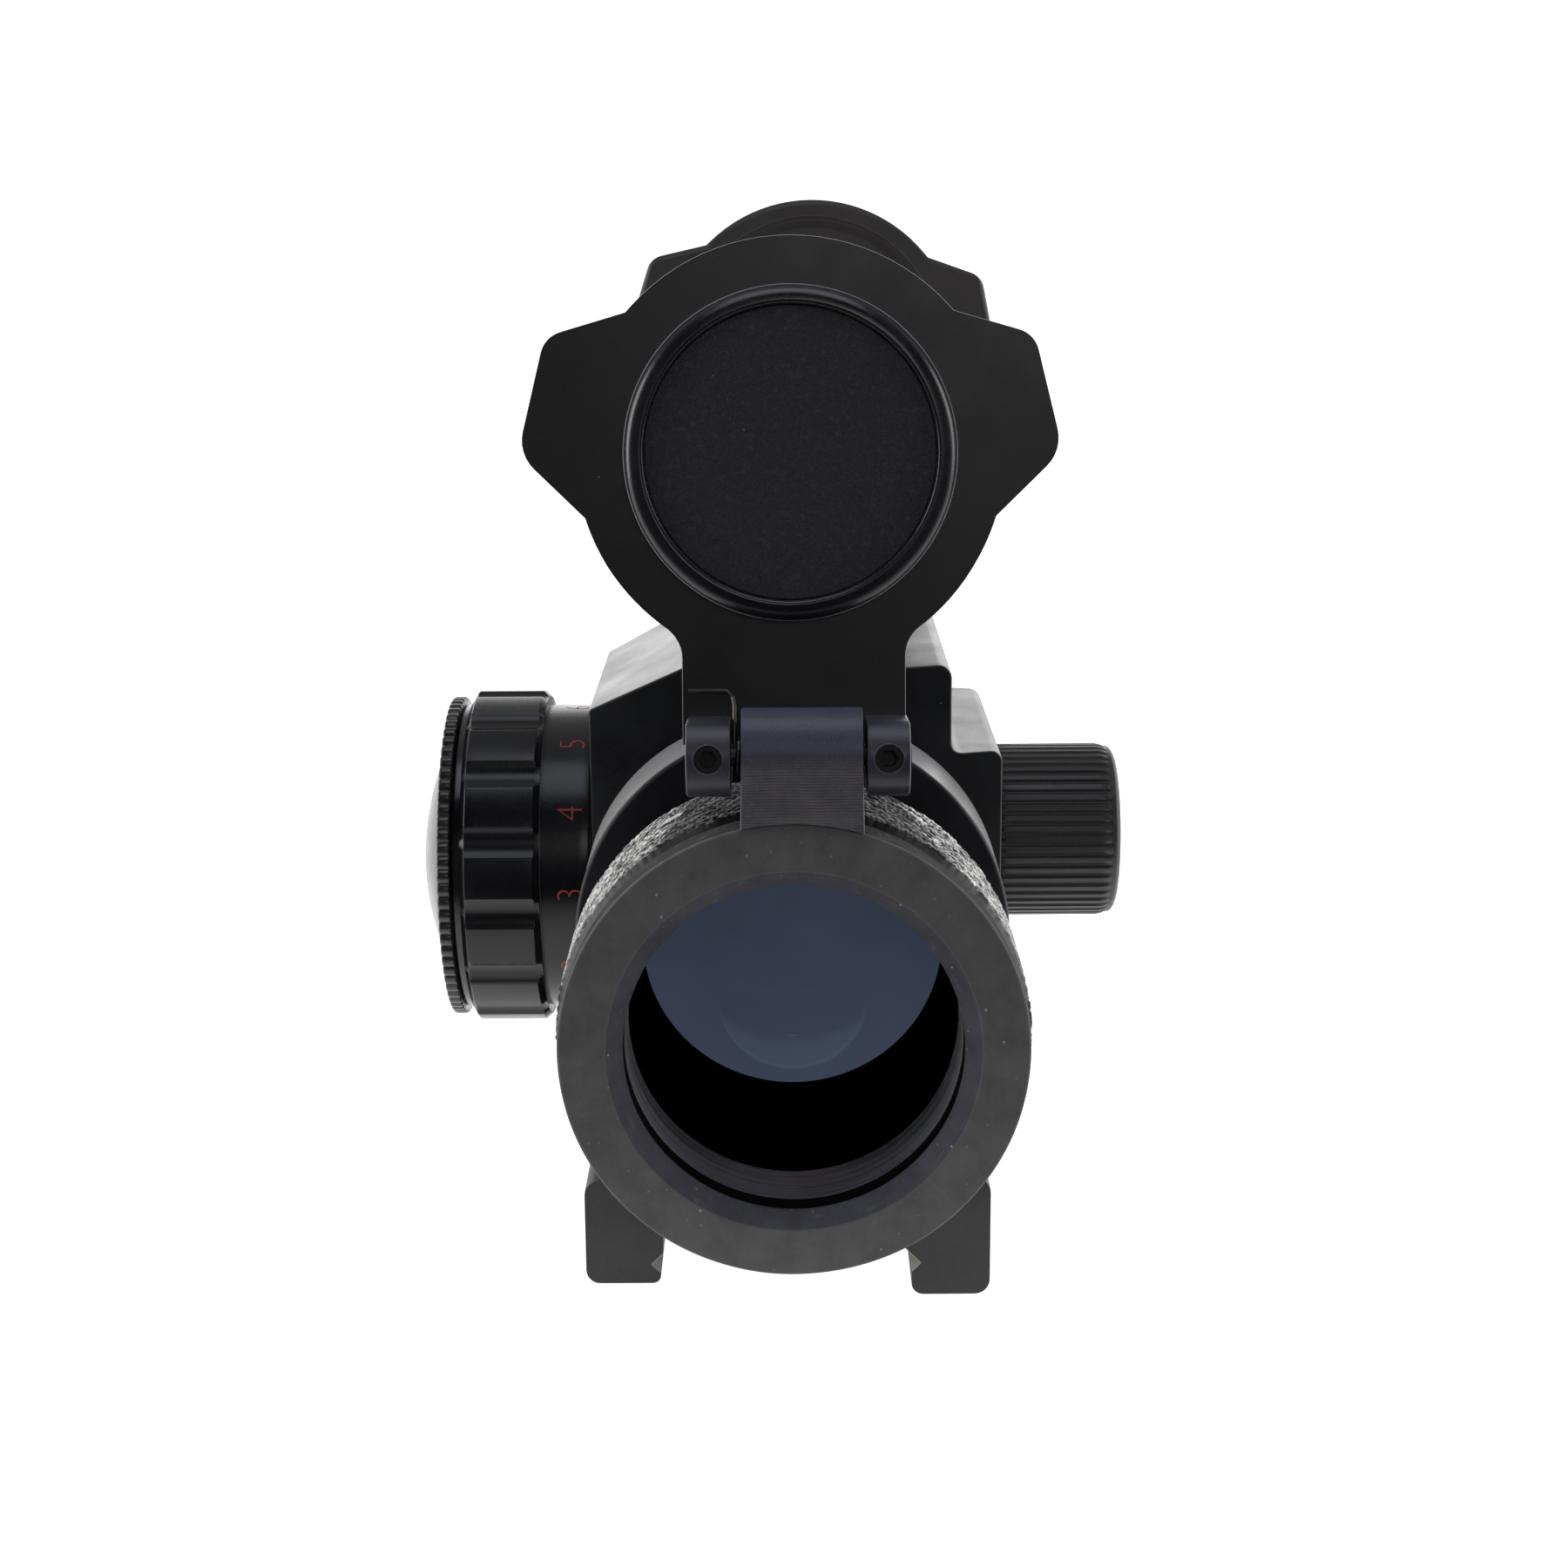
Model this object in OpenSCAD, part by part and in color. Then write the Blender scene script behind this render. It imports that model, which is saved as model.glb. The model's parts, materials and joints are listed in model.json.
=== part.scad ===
// Red dot finder: a 1x tube sight with flip-up covers, a brightness dial and a rail clamp.
// X is to the right seen from behind, Y is forward along the line of sight, Z is up.
// The origin is the middle of the rail seat, and all sizes are in millimetres.

/* [Tube] */
// Height of the tube axis above the rail seat
axis_h = 25.6; // [25.4:0.1:26]
// Length over the two rubber rings
total_len = 102.4; // [101:0.2:106]
// Outer diameter of the rubber rings
ring_d = 34; // [33.8:0.1:34.2]
// Diameter of the clear hole at each end
clear_d = 24.6; // [24.4:0.1:24.8]
// Outer diameter of the knurled bezels
bezel_d = 34.8; // [34.6:0.1:35]
// Length of each knurled bezel
bezel_len = 10.7; // [10.4:0.1:11.2]
// Outer diameter of the slim barrels between the bezels and the body
barrel_d = 27.6; // [27.4:0.1:27.8]

/* [Body] */
// Diameter of the collars at the two ends of the body
collar_d = 35.6; // [35.4:0.1:36]
// Length of the body and of the rail clamp
body_len = 46.8; // [46:0.2:48]
// Length of the turret housing at its side walls
housing_len = 26.6; // [25.4:0.2:26.6]
// Angle by which the housing's end faces lean back towards its side walls
housing_taper = 17; // [14:1:20]
// Distance from the tube axis to the housing's left wall
left_wall = 17; // [16.9:0.1:17.4]
// Distance from the tube axis to the housing's right wall
right_wall = 17.85; // [17.6:0.05:18]
// Height of the housing's flat top above the rail seat
top_z = 46.8; // [46.4:0.1:47]

/* [Covers] */
// Diameter of each cover's disc
cover_d = 30.6; // [30:0.1:31]
// Thickness of each cover
cover_t = 1.9; // [1.7:0.1:2]
// Span over the two finger wings of a cover
wing_span = 38.7; // [37:0.1:39.4]
// Diameter of the plug on a cover's inner face
plug_d = 23; // [22.4:0.1:23.2]
// Height of the hinge pins above the tube axis
pin_rise = 21.28; // [21.2:0.02:21.4]
// Diameter of the hinge pins
pin_d = 1.4; // [1.2:0.1:1.4]
// Angle that the rear cover stands open
rear_open = 188; // [90:1:188]
// Angle that the front cover stands open
front_open = 168.5; // [90:0.5:188]
// Angle that the front cap is turned about the tube
front_clock = 3.45; // [0:0.05:5]

/* [Brightness dial] */
// Height of the dial's axis above the rail seat
dial_z = 26.85; // [26.6:0.05:27.1]
// Diameter of the fluted grip
grip_d = 29.6; // [29:0.1:30]
// Diameter of the numbered part of the dial
scale_d = 27; // [26.6:0.1:27.2]
// Number of flutes around the grip
flutes = 15; // [10:1:16]
// Number of click positions around the dial
clicks = 12; // [6:1:12]
// Diameter of the coin cell
cell_d = 20; // [19.6:0.1:20]
// Thickness of the coin cell
cell_t = 3.2; // [1.6:0.1:3.2]

/* [Turrets] */
// Diameter of the turret caps
cap_d = 15.4; // [15:0.1:16]
// Height of the turret caps
cap_h = 11; // [10.4:0.1:11.4]
// Number of ribs around a turret cap
cap_ribs = 50; // [32:2:64]
// Height of the windage turret above the rail seat
windage_z = 28.9; // [28.6:0.1:29.2]

/* [Rail clamp] */
// Half the width of the rail at its widest, where the two V grooves meet it
rail_half = 10.65; // [10.6:0.01:10.7]
// Depth of the bottom of the V grooves below the seat
groove_z = 2.74; // [2.6:0.02:2.8]
// Gap by which the moving jaw stands open
jaw_gap = 1.35; // [0.4:0.05:1.4]
// Height of the clamp screws above the seat
screw_z = 2.5; // [2.4:0.05:2.6]

/* [Hidden] */
$fn = 96;
eps = 0.01;
run = 0.04;                                   // radial clearance of a part that turns or slides
fixed = 0.02;                                 // radial clearance of a part that is fixed in place

end_y = total_len / 2;
ring_r = ring_d / 2;
clear_r = clear_d / 2;
bezel_r = bezel_d / 2;
barrel_r = barrel_d / 2;
ring_len = 3;
bezel_end = ring_len + bezel_len;             // measured inwards from the rubber ring's face
bore_step = 8.5;                              // where the bezel's smooth bore ends

body_half = body_len / 2;
collar_r = collar_d / 2;
bore_r = 14.5;                                // the body's straight bore
thread_r = bore_r - 0.05;                     // the barrels' threaded ends
barrel_in = 6.9;                              // how far a barrel screws into the body
window_y = body_half - 0.1;                   // the rear face of the rear window
window_r = 12.9;
window_t = 2;
seat_r = 12.2;                                // clear radius of the rear window's seat

pin_y = end_y - 2.61;
pin_r = pin_d / 2;
pin_z = axis_h + pin_rise;
hinge_x = 0.4;
ear_r = 2.85;
knuckle_top = 3.45;                           // how far the knuckle stands above the pin
knuckle_x = [-3.98, 4.54];                    // these run along the pin from the hinge's middle
ear_x = [[-7.86, -4.73], [4.83, 7.85]];
cover_face = 2.89;                            // closed cover's inner face, behind the pin
cover_r = cover_d / 2;
plug_h = 1.9;
pad_r = 10.36;
pad_t = 1;

pivot_y = -13;                                // the gimbal's pivot, measured from mid-length
carrier_r = 13;
carrier_neck_r = 12;
carrier_bore = 11.2;
carrier_y = [-9.5, 15.8];
lens_r = 11.9;
top_flat = 12.6;                              // distances from the tube axis to the flats
side_flat = 12;
top_reach = top_z - axis_h - top_flat;
side_reach = right_wall - side_flat;
led_y = -6;

cap_r = cap_d / 2;
neck_r = 5.55;
neck_h = 6;
shank_r = 5;
shank_h = 3.2;
stem_r = 2.5;
plunger_r = 1.5;
head_r = 4.6;
head_z = [3.65, 5.6];

grip_r = grip_d / 2;
scale_r = scale_d / 2;
hub_r = 4;
base_r = 12.6;
base_t = 2.2;
board_t = 1;
scale_end = 4.5;                              // these run outwards from the housing's left wall
web = [5.2, 6.4];
grip_end = 11.3;
lip_end = 12;
cell_at = 7.7;
cap_rim = [12.1, 13.2];
dome_h = 2.6;
chamber_r = 10.6;
cap_thread_r = 12.2;
board_screw_r = 8.5;

lip_x = rail_half - 0.77;
seat_x = rail_half - groove_z;
web_x = 9.6;
jaw_out = 16.5;
jaw_low = 5.45;
jaw_top = 4.8;
jaw_face = web_x + 0.05;                      // the moving jaw's inner face when it is closed
screw_r = 1.25;
screw_y = 15;
guide_y = 8;
guide_r = 1.5;

// The round of radius r at corner b of the path a, b, c, in n steps
function fillet(a, b, c, r, n = 5) =
  let(u = (a - b) / norm(a - b),
      v = (c - b) / norm(c - b),
      half = acos(u * v) / 2,
      centre = b + (u + v) / norm(u + v) * r / sin(half),
      p = b + u * r / tan(half) - centre,
      q = b + v * r / tan(half) - centre,
      turn = atan2(p.x * q.y - p.y * q.x, p * q),
      start = atan2(p.y, p.x))
  [for (i = [0:n]) centre + r * [cos(start + turn * i / n), sin(start + turn * i / n)]];

// A closed outline whose corners are [x, y, radius]
function rounded(p) = let(n = len(p)) [
  for (i = [0:n - 1])
    let(b = [p[i].x, p[i].y], a = p[(i + n - 1) % n], c = p[(i + 1) % n])
    each p[i].z == 0 ? [b] : fillet([a.x, a.y], b, [c.x, c.y], p[i].z)
];

// An outline of n teeth between two radii
function toothed(r, depth, n) = [
  for (i = [0:2 * n - 1]) (r - (i % 2) * depth) * [cos(180 * i / n), sin(180 * i / n)]
];

// A coil about +Z: its radius, its length, its number of turns and the steps in a turn
function coil(r, length, turns, steps = 14) = [
  for (i = [0:turns * steps])
    [r * cos(360 * i / steps), r * sin(360 * i / steps), length * i / (turns * steps)]
];

function unit(v) = v / norm(v);
function tangent(p, i) = unit(p[min(i + 1, len(p) - 1)] - p[max(i - 1, 0)]);

// A round wire along a path. The path never runs along the vector side
module wire(path, r, side, sides = 8) {
  points = [
    for (i = [0:len(path) - 1])
      let(t = tangent(path, i), u = unit(cross(t, side)), v = cross(t, u))
      for (k = [0:sides - 1])
        path[i] + r * (cos(360 * k / sides) * u + sin(360 * k / sides) * v)
  ];
  last = (len(path) - 1) * sides;
  faces = [
    [for (k = [0:sides - 1]) k],
    for (i = [0:len(path) - 2], k = [0:sides - 1])
      [(i + 1) * sides + k, (i + 1) * sides + (k + 1) % sides,
       i * sides + (k + 1) % sides, i * sides + k],
    [for (k = [sides - 1:-1:0]) last + k]
  ];
  polyhedron(points, faces);
}

module ring(r_out, r_in, h) {
  difference() {
    cylinder(r = r_out, h = h);
    translate([0, 0, -1]) cylinder(r = r_in, h = h + 2);
  }
}

// Frames of reference: local +Z runs inwards from an end, along the tube, or out of a wall
module from_rear_end() translate([0, -end_y, axis_h]) rotate([-90, 0, 0]) children();
module along_tube(y) translate([0, y, axis_h]) rotate([-90, 0, 0]) children();
module at_rear_pin() translate([hinge_x, -pin_y, pin_z]) children();
module along_x(x0) translate([x0, 0, 0]) rotate([0, 90, 0]) children();
module on_front() {
  translate([0, 0, axis_h]) rotate([0, front_clock, 0]) translate([0, 0, -axis_h])
    mirror([0, 1, 0]) children();
}
module at_left_wall(x = 0) translate([-left_wall - x, 0, dial_z]) rotate([0, -90, 0]) children();
module at_elevation() translate([0, 0, top_z]) children();
module at_windage() translate([right_wall, 0, windage_z]) rotate([0, 90, 0]) children();

// Tube ends
module rubber_ring() {
  tongue = [14.75, 15.55];
  from_rear_end() rotate_extrude() polygon([
    [clear_r + 1.2, 0], [ring_r - 0.5, 0], [ring_r, 0.5], [ring_r, ring_len - 0.05],
    [tongue[1], ring_len - 0.05], [tongue[1], ring_len + 1.4],
    [tongue[0], ring_len + 1.4], [tongue[0], ring_len - 0.05],
    [clear_r + 0.9, ring_len - 0.05], [clear_r + 0.9, 1.35], [clear_r, 1.25], [clear_r, 1]
  ]);
}

// The knuckle stands on the bezel, and its lower end clears the rubber ring
module knuckle() {
  width = knuckle_x[1] - knuckle_x[0];
  difference() {
    at_rear_pin() translate([knuckle_x[0], 0, 0]) rotate([90, 0, 90])
      linear_extrude(width) polygon([
        for (t = [0:15:180]) [ear_r * cos(t), knuckle_top * sin(t)],
        [-ear_r, -5.1], [0.5, -5.1], [0.5, -5.42], [6, -5.42], [6, -4.32], [3.2, -1.6]
      ]);
    from_rear_end() translate([0, 0, -2]) cylinder(r = ring_r + 0.05, h = ring_len + 2.1);
  }
}

module bezel() {
  difference() {
    union() {
      from_rear_end() rotate_extrude() polygon([
        [clear_r, ring_len], [14.65, ring_len], [14.65, ring_len + 1.5], [15.65, ring_len + 1.5],
        [15.65, ring_len], [bezel_r - 0.8, ring_len], [bezel_r, ring_len + 0.8],
        [bezel_r, bezel_end - 0.5], [bezel_r - 0.5, bezel_end],
        [barrel_r + fixed, bezel_end], [barrel_r + fixed, bore_step], [clear_r, bore_step]
      ]);
      knuckle();
    }
    at_rear_pin() along_x(knuckle_x[0] - 1) cylinder(r = pin_r + run, h = 12);
    at_rear_pin() along_x(knuckle_x[0] - 1) cylinder(r = 1.9, h = 3.6);
  }
}

module barrel(with_window) {
  inner = end_y - body_half + barrel_in;
  window_at = end_y - window_y;
  from_rear_end() difference() {
    union() {
      translate([0, 0, bore_step + fixed]) cylinder(r = barrel_r, h = inner - bore_step - fixed);
      translate([0, 0, inner - barrel_in + 1]) cylinder(r = thread_r, h = barrel_in - 1);
    }
    if (with_window) {
      translate([0, 0, bore_step - 1]) cylinder(r = clear_r + 0.25, h = window_at - 0.6 - bore_step + 1);
      cylinder(r = seat_r, h = 60);
      translate([0, 0, window_at]) cylinder(r = window_r + fixed, h = 20);
    } else {
      translate([0, 0, bore_step - 1]) cylinder(r = clear_r + 0.25, h = 60);
    }
  }
}

module window() {
  along_tube(-window_y + eps) rotate_extrude() polygon([
    [0, 0], [window_r - 0.2, 0], [window_r, 0.2], [window_r, window_t - 0.2],
    [window_r - 0.2, window_t], [0, window_t]
  ]);
}

module window_ring() along_tube(-window_y + window_t + 0.03) ring(window_r, seat_r, 1.2);

// Covers, drawn closed about the pin and then opened
module opened(angle) at_rear_pin() rotate([-angle, 0, 0]) children();
module at_disc(y) translate([-hinge_x, y, -pin_rise]) rotate([-90, 0, 0]) children();

module cover_outline() {
  half = wing_span / 2;
  neck = [-7.83, 8.15];
  circle(r = cover_r);
  polygon(rounded([
    [-11.6, 10, 0], [-half + 2, 8.3, 2], [-half, 0.1, 2.8], [-14.6, -4.5, 0],
    [14.6, -4.5, 0], [half, 0.1, 2.8], [half - 2, 8.3, 2], [11.6, 10, 0]
  ]));
  translate([neck[0], 0.6 - pin_rise]) square([neck[1] - neck[0], pin_rise - 0.6]);
}

module ear(x) {
  translate([x[0], 0, 0]) rotate([90, 0, 90]) linear_extrude(x[1] - x[0]) polygon([
    [0, -2.65], [-cover_face - cover_t + eps, -2.65],
    [-cover_face - cover_t + eps, 0.8], [-3.2, 2.4], [0, 2.4]
  ]);
  along_x(x[0]) cylinder(r = ear_r, h = x[1] - x[0]);
}

module cover(angle) {
  grub_bore = 1 + fixed;
  opened(angle) difference() {
    union() {
      at_disc(-cover_face - cover_t) linear_extrude(cover_t) cover_outline();
      at_disc(-cover_face - eps) rotate_extrude() polygon([
        [0, 0], [plug_d / 2, 0], [plug_d / 2, plug_h - 0.5], [plug_d / 2 - 0.5, plug_h],
        [pad_r + 0.2, plug_h], [pad_r, plug_h - 0.2], [pad_r, plug_h - 1.2], [0, plug_h - 1.2]
      ]);
      ear(ear_x[0]);
      ear(ear_x[1]);
    }
    along_x(-12) cylinder(r = pin_r + fixed, h = 24);
    along_x(ear_x[0][1] - 0.02) cylinder(r = knuckle_top + 0.15, h = ear_x[1][0] - ear_x[0][1] + 0.04);
    for (x = ear_x)
      translate([(x[0] + x[1]) / 2, 0, 0]) rotate([-90, 0, 0]) cylinder(r = grub_bore, h = 4);
  }
}

module cover_pad(angle) {
  opened(angle) at_disc(-cover_face + plug_h - 1.2 + eps) cylinder(r = pad_r - 0.06, h = pad_t);
}

module hinge_pin() {
  at_rear_pin() along_x(ear_x[0][0]) cylinder(r = pin_r, h = ear_x[1][1] - ear_x[0][0] + 0.15);
}

// The coil sits in the knuckle's counterbore, and its leg lies on the open cover
module hinge_spring(angle) {
  wire_r = 0.15;
  coil_r = 1.35;
  start_x = -4.5;
  rest = [wire_r + 0.05 - cover_face, -4.5];  // where the leg rests, on the closed cover
  foot = [rest.x * cos(angle) + rest.y * sin(angle), rest.y * cos(angle) - rest.x * sin(angle)];
  top = [coil_r, 0];
  bends = [[-7.8, 0], [-5.35, 0], [-4.95, 0.02], [-4.62, 0.1], [start_x, 0.24],
           [start_x, 0.6], [start_x, 0.88]];  // along the pin, and from the foot to the coil
  leg = [for (b = bends) let(p = foot + (top - foot) * b.y) [b.x, p.x, p.y]];
  turns = [for (p = coil(coil_r, 2.6, 5, 12)) [start_x + p.z, p.x, -p.y]];
  at_rear_pin() wire(concat(leg, turns), wire_r, [1, 0.6, 0]);
}

module hinge_grubs(angle) {
  opened(angle) for (x = ear_x) translate([(x[0] + x[1]) / 2, 0, 0]) rotate([-90, 0, 0])
    difference() {
      translate([0, 0, pin_r + 0.03]) cylinder(r = 1, h = 1.7);
      translate([0, 0, 1.5]) cylinder(r = 0.65, h = 2, $fn = 6);
    }
}

// Body
module housing() {
  end_x = 6.5;
  step = [13.45, 39.15];
  slope = tan(housing_taper);
  wall_half = housing_len / 2;
  far = 20;
  left_y = wall_half + slope * (left_wall - end_x);
  intersection() {
    linear_extrude(top_z + 1) polygon([
      [-far, wall_half - slope * (far - left_wall)], [-end_x, left_y],
      [end_x, left_y], [far, wall_half - slope * (far - right_wall)],
      [far, -wall_half + slope * (far - right_wall)], [end_x, -left_y],
      [-end_x, -left_y], [-far, -wall_half + slope * (far - left_wall)]
    ]);
    translate([0, 30, 0]) rotate([90, 0, 0]) linear_extrude(60) polygon(rounded([
      [-left_wall, 13, 1], [-left_wall, 42.85, 0.3], [-9.1, top_z, 0.3],
      [step.x, top_z, 1.2], [step.x, step.y, 1], [right_wall, step.y, 1], [right_wall, 13, 1],
      [web_x, 6, 0], [-web_x, 6, 0]
    ]));
  }
}

module fixed_jaw_outline() {
  polygon(rounded([
    [-web_x, 0, 0], [seat_x, 0, 0], [rail_half, -groove_z, 0.05], [lip_x, -groove_z - 0.77, 0.2],
    [lip_x, -jaw_low, 0.5], [jaw_out, -jaw_low, 1.2], [jaw_out, jaw_top, 1.3],
    [web_x, jaw_top, 0], [web_x, 13, 0], [-web_x, 13, 0]
  ]));
}

module turret_bore(depth) {
  translate([0, 0, -shank_h - 0.05]) cylinder(r = shank_r + fixed, h = shank_h + 1);
  translate([0, 0, -depth]) cylinder(r = plunger_r + 0.4, h = depth);
}

// The collars are cut back to just below the side walls where the dial and the turret stand
module body() {
  sunk = 0.1;
  color([0.14, 0.14, 0.16]) difference() {
    union() {
      difference() {
        along_tube(-body_half) rotate_extrude() polygon([
          [0, 0], [collar_r - 0.5, 0], [collar_r, 0.5],
          [collar_r, body_len - 0.5], [collar_r - 0.5, body_len], [0, body_len]
        ]);
        at_left_wall(-sunk) cylinder(r = grip_r + 0.6, h = 5);
        at_windage() translate([0, 0, -sunk]) cylinder(r = cap_r + 0.6, h = 5);
      }
      housing();
      translate([0, body_half, 0]) rotate([90, 0, 0]) linear_extrude(body_len) fixed_jaw_outline();
    }
    along_tube(-body_half - 1) cylinder(r = bore_r, h = body_len + 2);
    at_elevation() turret_bore(9);
    at_windage() turret_bore(5);
    translate([-left_wall - 1, led_y, axis_h]) rotate([0, 90, 0]) cylinder(r = 1.5, h = 4);
    at_left_wall(-1.8) board_screw_places() cylinder(r = 1 + fixed, h = 3);
    along_tube(pivot_y) for (a = [0, 180])
      rotate([0, 0, a]) rotate([0, 90, 0]) cylinder(r = 0.8 + fixed, h = 16.5);
    return_spring_place() cylinder(r = 2.2, h = 17);
    for (s = [-1, 1]) {
      translate([-web_x - 1, s * screw_y, screw_z]) rotate([0, 90, 0])
        cylinder(r = screw_r + run, h = 15);
      translate([-web_x - 1, s * guide_y, screw_z]) rotate([0, 90, 0])
        cylinder(r = guide_r + run, h = 9);
    }
  }
}

// Moving optics
module gimbal_ring() {
  color("silver") along_tube(pivot_y - 2) difference() {
    cylinder(r = bore_r - 0.3, h = 4);
    translate([0, 0, -1]) cylinder(r = carrier_neck_r + 0.4, h = 6);
    for (a = [0:90:270]) translate([0, 0, 2]) rotate([0, 0, a]) rotate([0, 90, 0])
      cylinder(r = 0.8 + run, h = 20);
  }
}

module gimbal_pins() {
  color("silver") along_tube(pivot_y) for (a = [0, 180])
    rotate([0, 0, a]) rotate([0, 90, 0]) translate([0, 0, 12.7]) cylinder(r = 0.8, h = 3.6);
}

module optic_carrier() {
  color([0.1, 0.1, 0.1]) difference() {
    union() {
      along_tube(carrier_y[0]) cylinder(r = carrier_r, h = carrier_y[1] - carrier_y[0]);
      along_tube(pivot_y - 2.6) cylinder(r = carrier_neck_r, h = 8);
    }
    along_tube(-20) cylinder(r = carrier_bore, h = 50);
    along_tube(11.5) cylinder(r = lens_r, h = 10);
    translate([-10, -20, axis_h + top_flat]) cube([20, 50, 5]);
    translate([side_flat, -20, axis_h - 10]) cube([5, 50, 20]);
    along_tube(pivot_y) for (a = [90, 270])
      rotate([0, 0, a]) rotate([0, 90, 0]) cylinder(r = 0.8 + fixed, h = 14);
    translate([-14, led_y, axis_h]) rotate([0, 90, 0]) cylinder(r = 2, h = 6);
  }
}

module carrier_pins() {
  color("silver") along_tube(pivot_y) for (a = [90, 270])
    rotate([0, 0, a]) rotate([0, 90, 0]) translate([0, 0, 11.4]) cylinder(r = 0.8, h = 2.6);
}

module objective_lens() {
  curve = 80;
  color([0.75, 0.35, 0.3, 0.5]) difference() {
    intersection() {
      along_tube(11.55) cylinder(r = lens_r - fixed, h = 3.4);
      translate([0, 14.9 - curve, axis_h]) sphere(r = curve);
    }
    translate([0, 12.6 - curve, axis_h]) sphere(r = curve);
  }
}

module objective_ring() color([0.1, 0.1, 0.1]) along_tube(15) ring(lens_r - fixed, 11.2, 0.8);

module led_holder() {
  color([0.1, 0.1, 0.1]) difference() {
    translate([-12.7, led_y, axis_h]) rotate([0, 90, 0]) cylinder(r = 2 - fixed, h = 4.5);
    translate([-9.4, led_y, axis_h]) rotate([-90, 0, 0]) cylinder(r = 0.8, h = 5);
  }
}

module led_emitter() {
  color("red") translate([-9.4, led_y + 0.02, axis_h]) rotate([-90, 0, 0]) {
    cylinder(r = 0.78, h = 1.6);
    translate([0, 0, 1.6]) sphere(r = 0.5);
  }
}

module led_wires() {
  gap = 0.5;
  color("red") for (s = [-1, 1]) translate([0.05 - left_wall - base_t, led_y, axis_h + s * gap])
    rotate([0, 90, 0]) cylinder(r = 0.3, h = left_wall + base_t - 13.05);
}

module return_spring_place() {
  translate([0, 4, axis_h]) rotate([0, 225, 0]) children();
}

module return_spring() {
  color("silver") return_spring_place() translate([0, 0, 13.6])
    wire(coil(1.6, 3, 4), 0.25, [0, 0, 1]);
}

// Turrets
module bushing() {
  difference() {
    union() {
      cylinder(r = neck_r, h = neck_h);
      translate([0, 0, -shank_h]) cylinder(r = shank_r, h = shank_h + 1);
    }
    translate([0, 0, 3.6]) cylinder(r = head_r + 0.05, h = 5);
    translate([0, 0, -1.6]) cylinder(r = stem_r + run, h = 9);
    translate([0, 0, -5]) cylinder(r = plunger_r + run, h = 9);
  }
}

module adjuster() {
  difference() {
    union() {
      translate([0, 0, head_z[0]]) cylinder(r = head_r, h = head_z[1] - head_z[0]);
      translate([0, 0, -1.5]) cylinder(r = stem_r, h = head_z[0] + 1.6);
    }
    translate([-0.5, -6, head_z[1] - 0.9]) cube([1, 12, 2]);
    translate([0, 0, -3]) cylinder(r = plunger_r + run, h = 6);
  }
}

module plunger(reach) {
  tip = 0.4;
  translate([0, 0, -reach + 0.03 + tip]) cylinder(r = plunger_r, h = reach + 2.2 - tip);
  translate([0, 0, -reach + 0.03]) cylinder(r1 = plunger_r - tip, r2 = plunger_r, h = tip);
}

module seal() {
  translate([0, 0, 0.5]) rotate_extrude() translate([6.1, 0]) circle(r = 0.45, $fn = 32);
}

module turret_cap() {
  rib = 0.25;
  core_r = cap_r - rib - 0.08;
  difference() {
    union() {
      translate([0, 0, 0.05]) linear_extrude(cap_h - 1.7) polygon(toothed(cap_r, rib, cap_ribs));
      rotate_extrude() polygon([
        [0, 0.3], [core_r, 0.3], [core_r, cap_h - 1.2], [core_r - 1.1, cap_h - 0.15], [0, cap_h]
      ]);
    }
    translate([0, 0, -1]) cylinder(r = neck_r + 0.07, h = 9);
    translate([0, 0, -1]) cylinder(r = 6.7, h = 2.15);
  }
}

// Brightness dial
module board_screw_places() {
  for (a = [60, 180, 300]) rotate([0, 0, a]) translate([board_screw_r, 0, 0]) children();
}

// The hole that the light's wires pass through, in the dial's own frame
module wire_hole() translate([axis_h - dial_z, led_y, -5]) cylinder(r = 1.2, h = 30);

module dial_base() {
  color([0.2, 0.2, 0.22]) at_left_wall() difference() {
    union() {
      translate([0, 0, eps]) cylinder(r = base_r, h = base_t - 2 * eps);
      cylinder(r = hub_r, h = web[1] + 0.1);
    }
    board_screw_places() translate([0, 0, -1]) cylinder(r = 1 + fixed, h = 5);
    translate([0, 0, 1]) cylinder(r = screw_r + fixed, h = 10);
    wire_hole();
    translate([0, 0, base_t / 2]) rotate([0, 90, 0]) translate([0, 0, 9])
      cylinder(r = 0.85, h = 5);
  }
}

module contact_board() {
  color("darkgreen") at_left_wall(base_t) difference() {
    cylinder(r = 11.5, h = board_t);
    translate([0, 0, -1]) cylinder(r = hub_r + 0.1, h = 3);
    board_screw_places() translate([0, 0, -1]) cylinder(r = 1.1, h = 3);
    translate([0, 0, -1]) wire_hole();
  }
}

module dial_base_screws() {
  color("silver") at_left_wall() board_screw_places() {
    translate([0, 0, -1.7]) cylinder(r = 1, h = base_t + board_t + 1.8);
    translate([0, 0, base_t + board_t + eps]) difference() {
      cylinder(r = 1.9, h = 1);
      translate([-0.3, -3, 0.5]) cube([0.6, 6, 2]);
    }
  }
}

module detent_ball() {
  color("silver") at_left_wall(base_t / 2) rotate([0, 90, 0])
    translate([0, 0, base_r - 0.8 + 0.02]) sphere(r = 0.8, $fn = 48);
}

module detent_spring() {
  color("silver") at_left_wall(base_t / 2) rotate([0, 90, 0]) translate([0, 0, 9.2])
    wire(coil(0.6, 1.6, 4, 10), 0.12, [0, 0, 1], 6);
}

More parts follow.
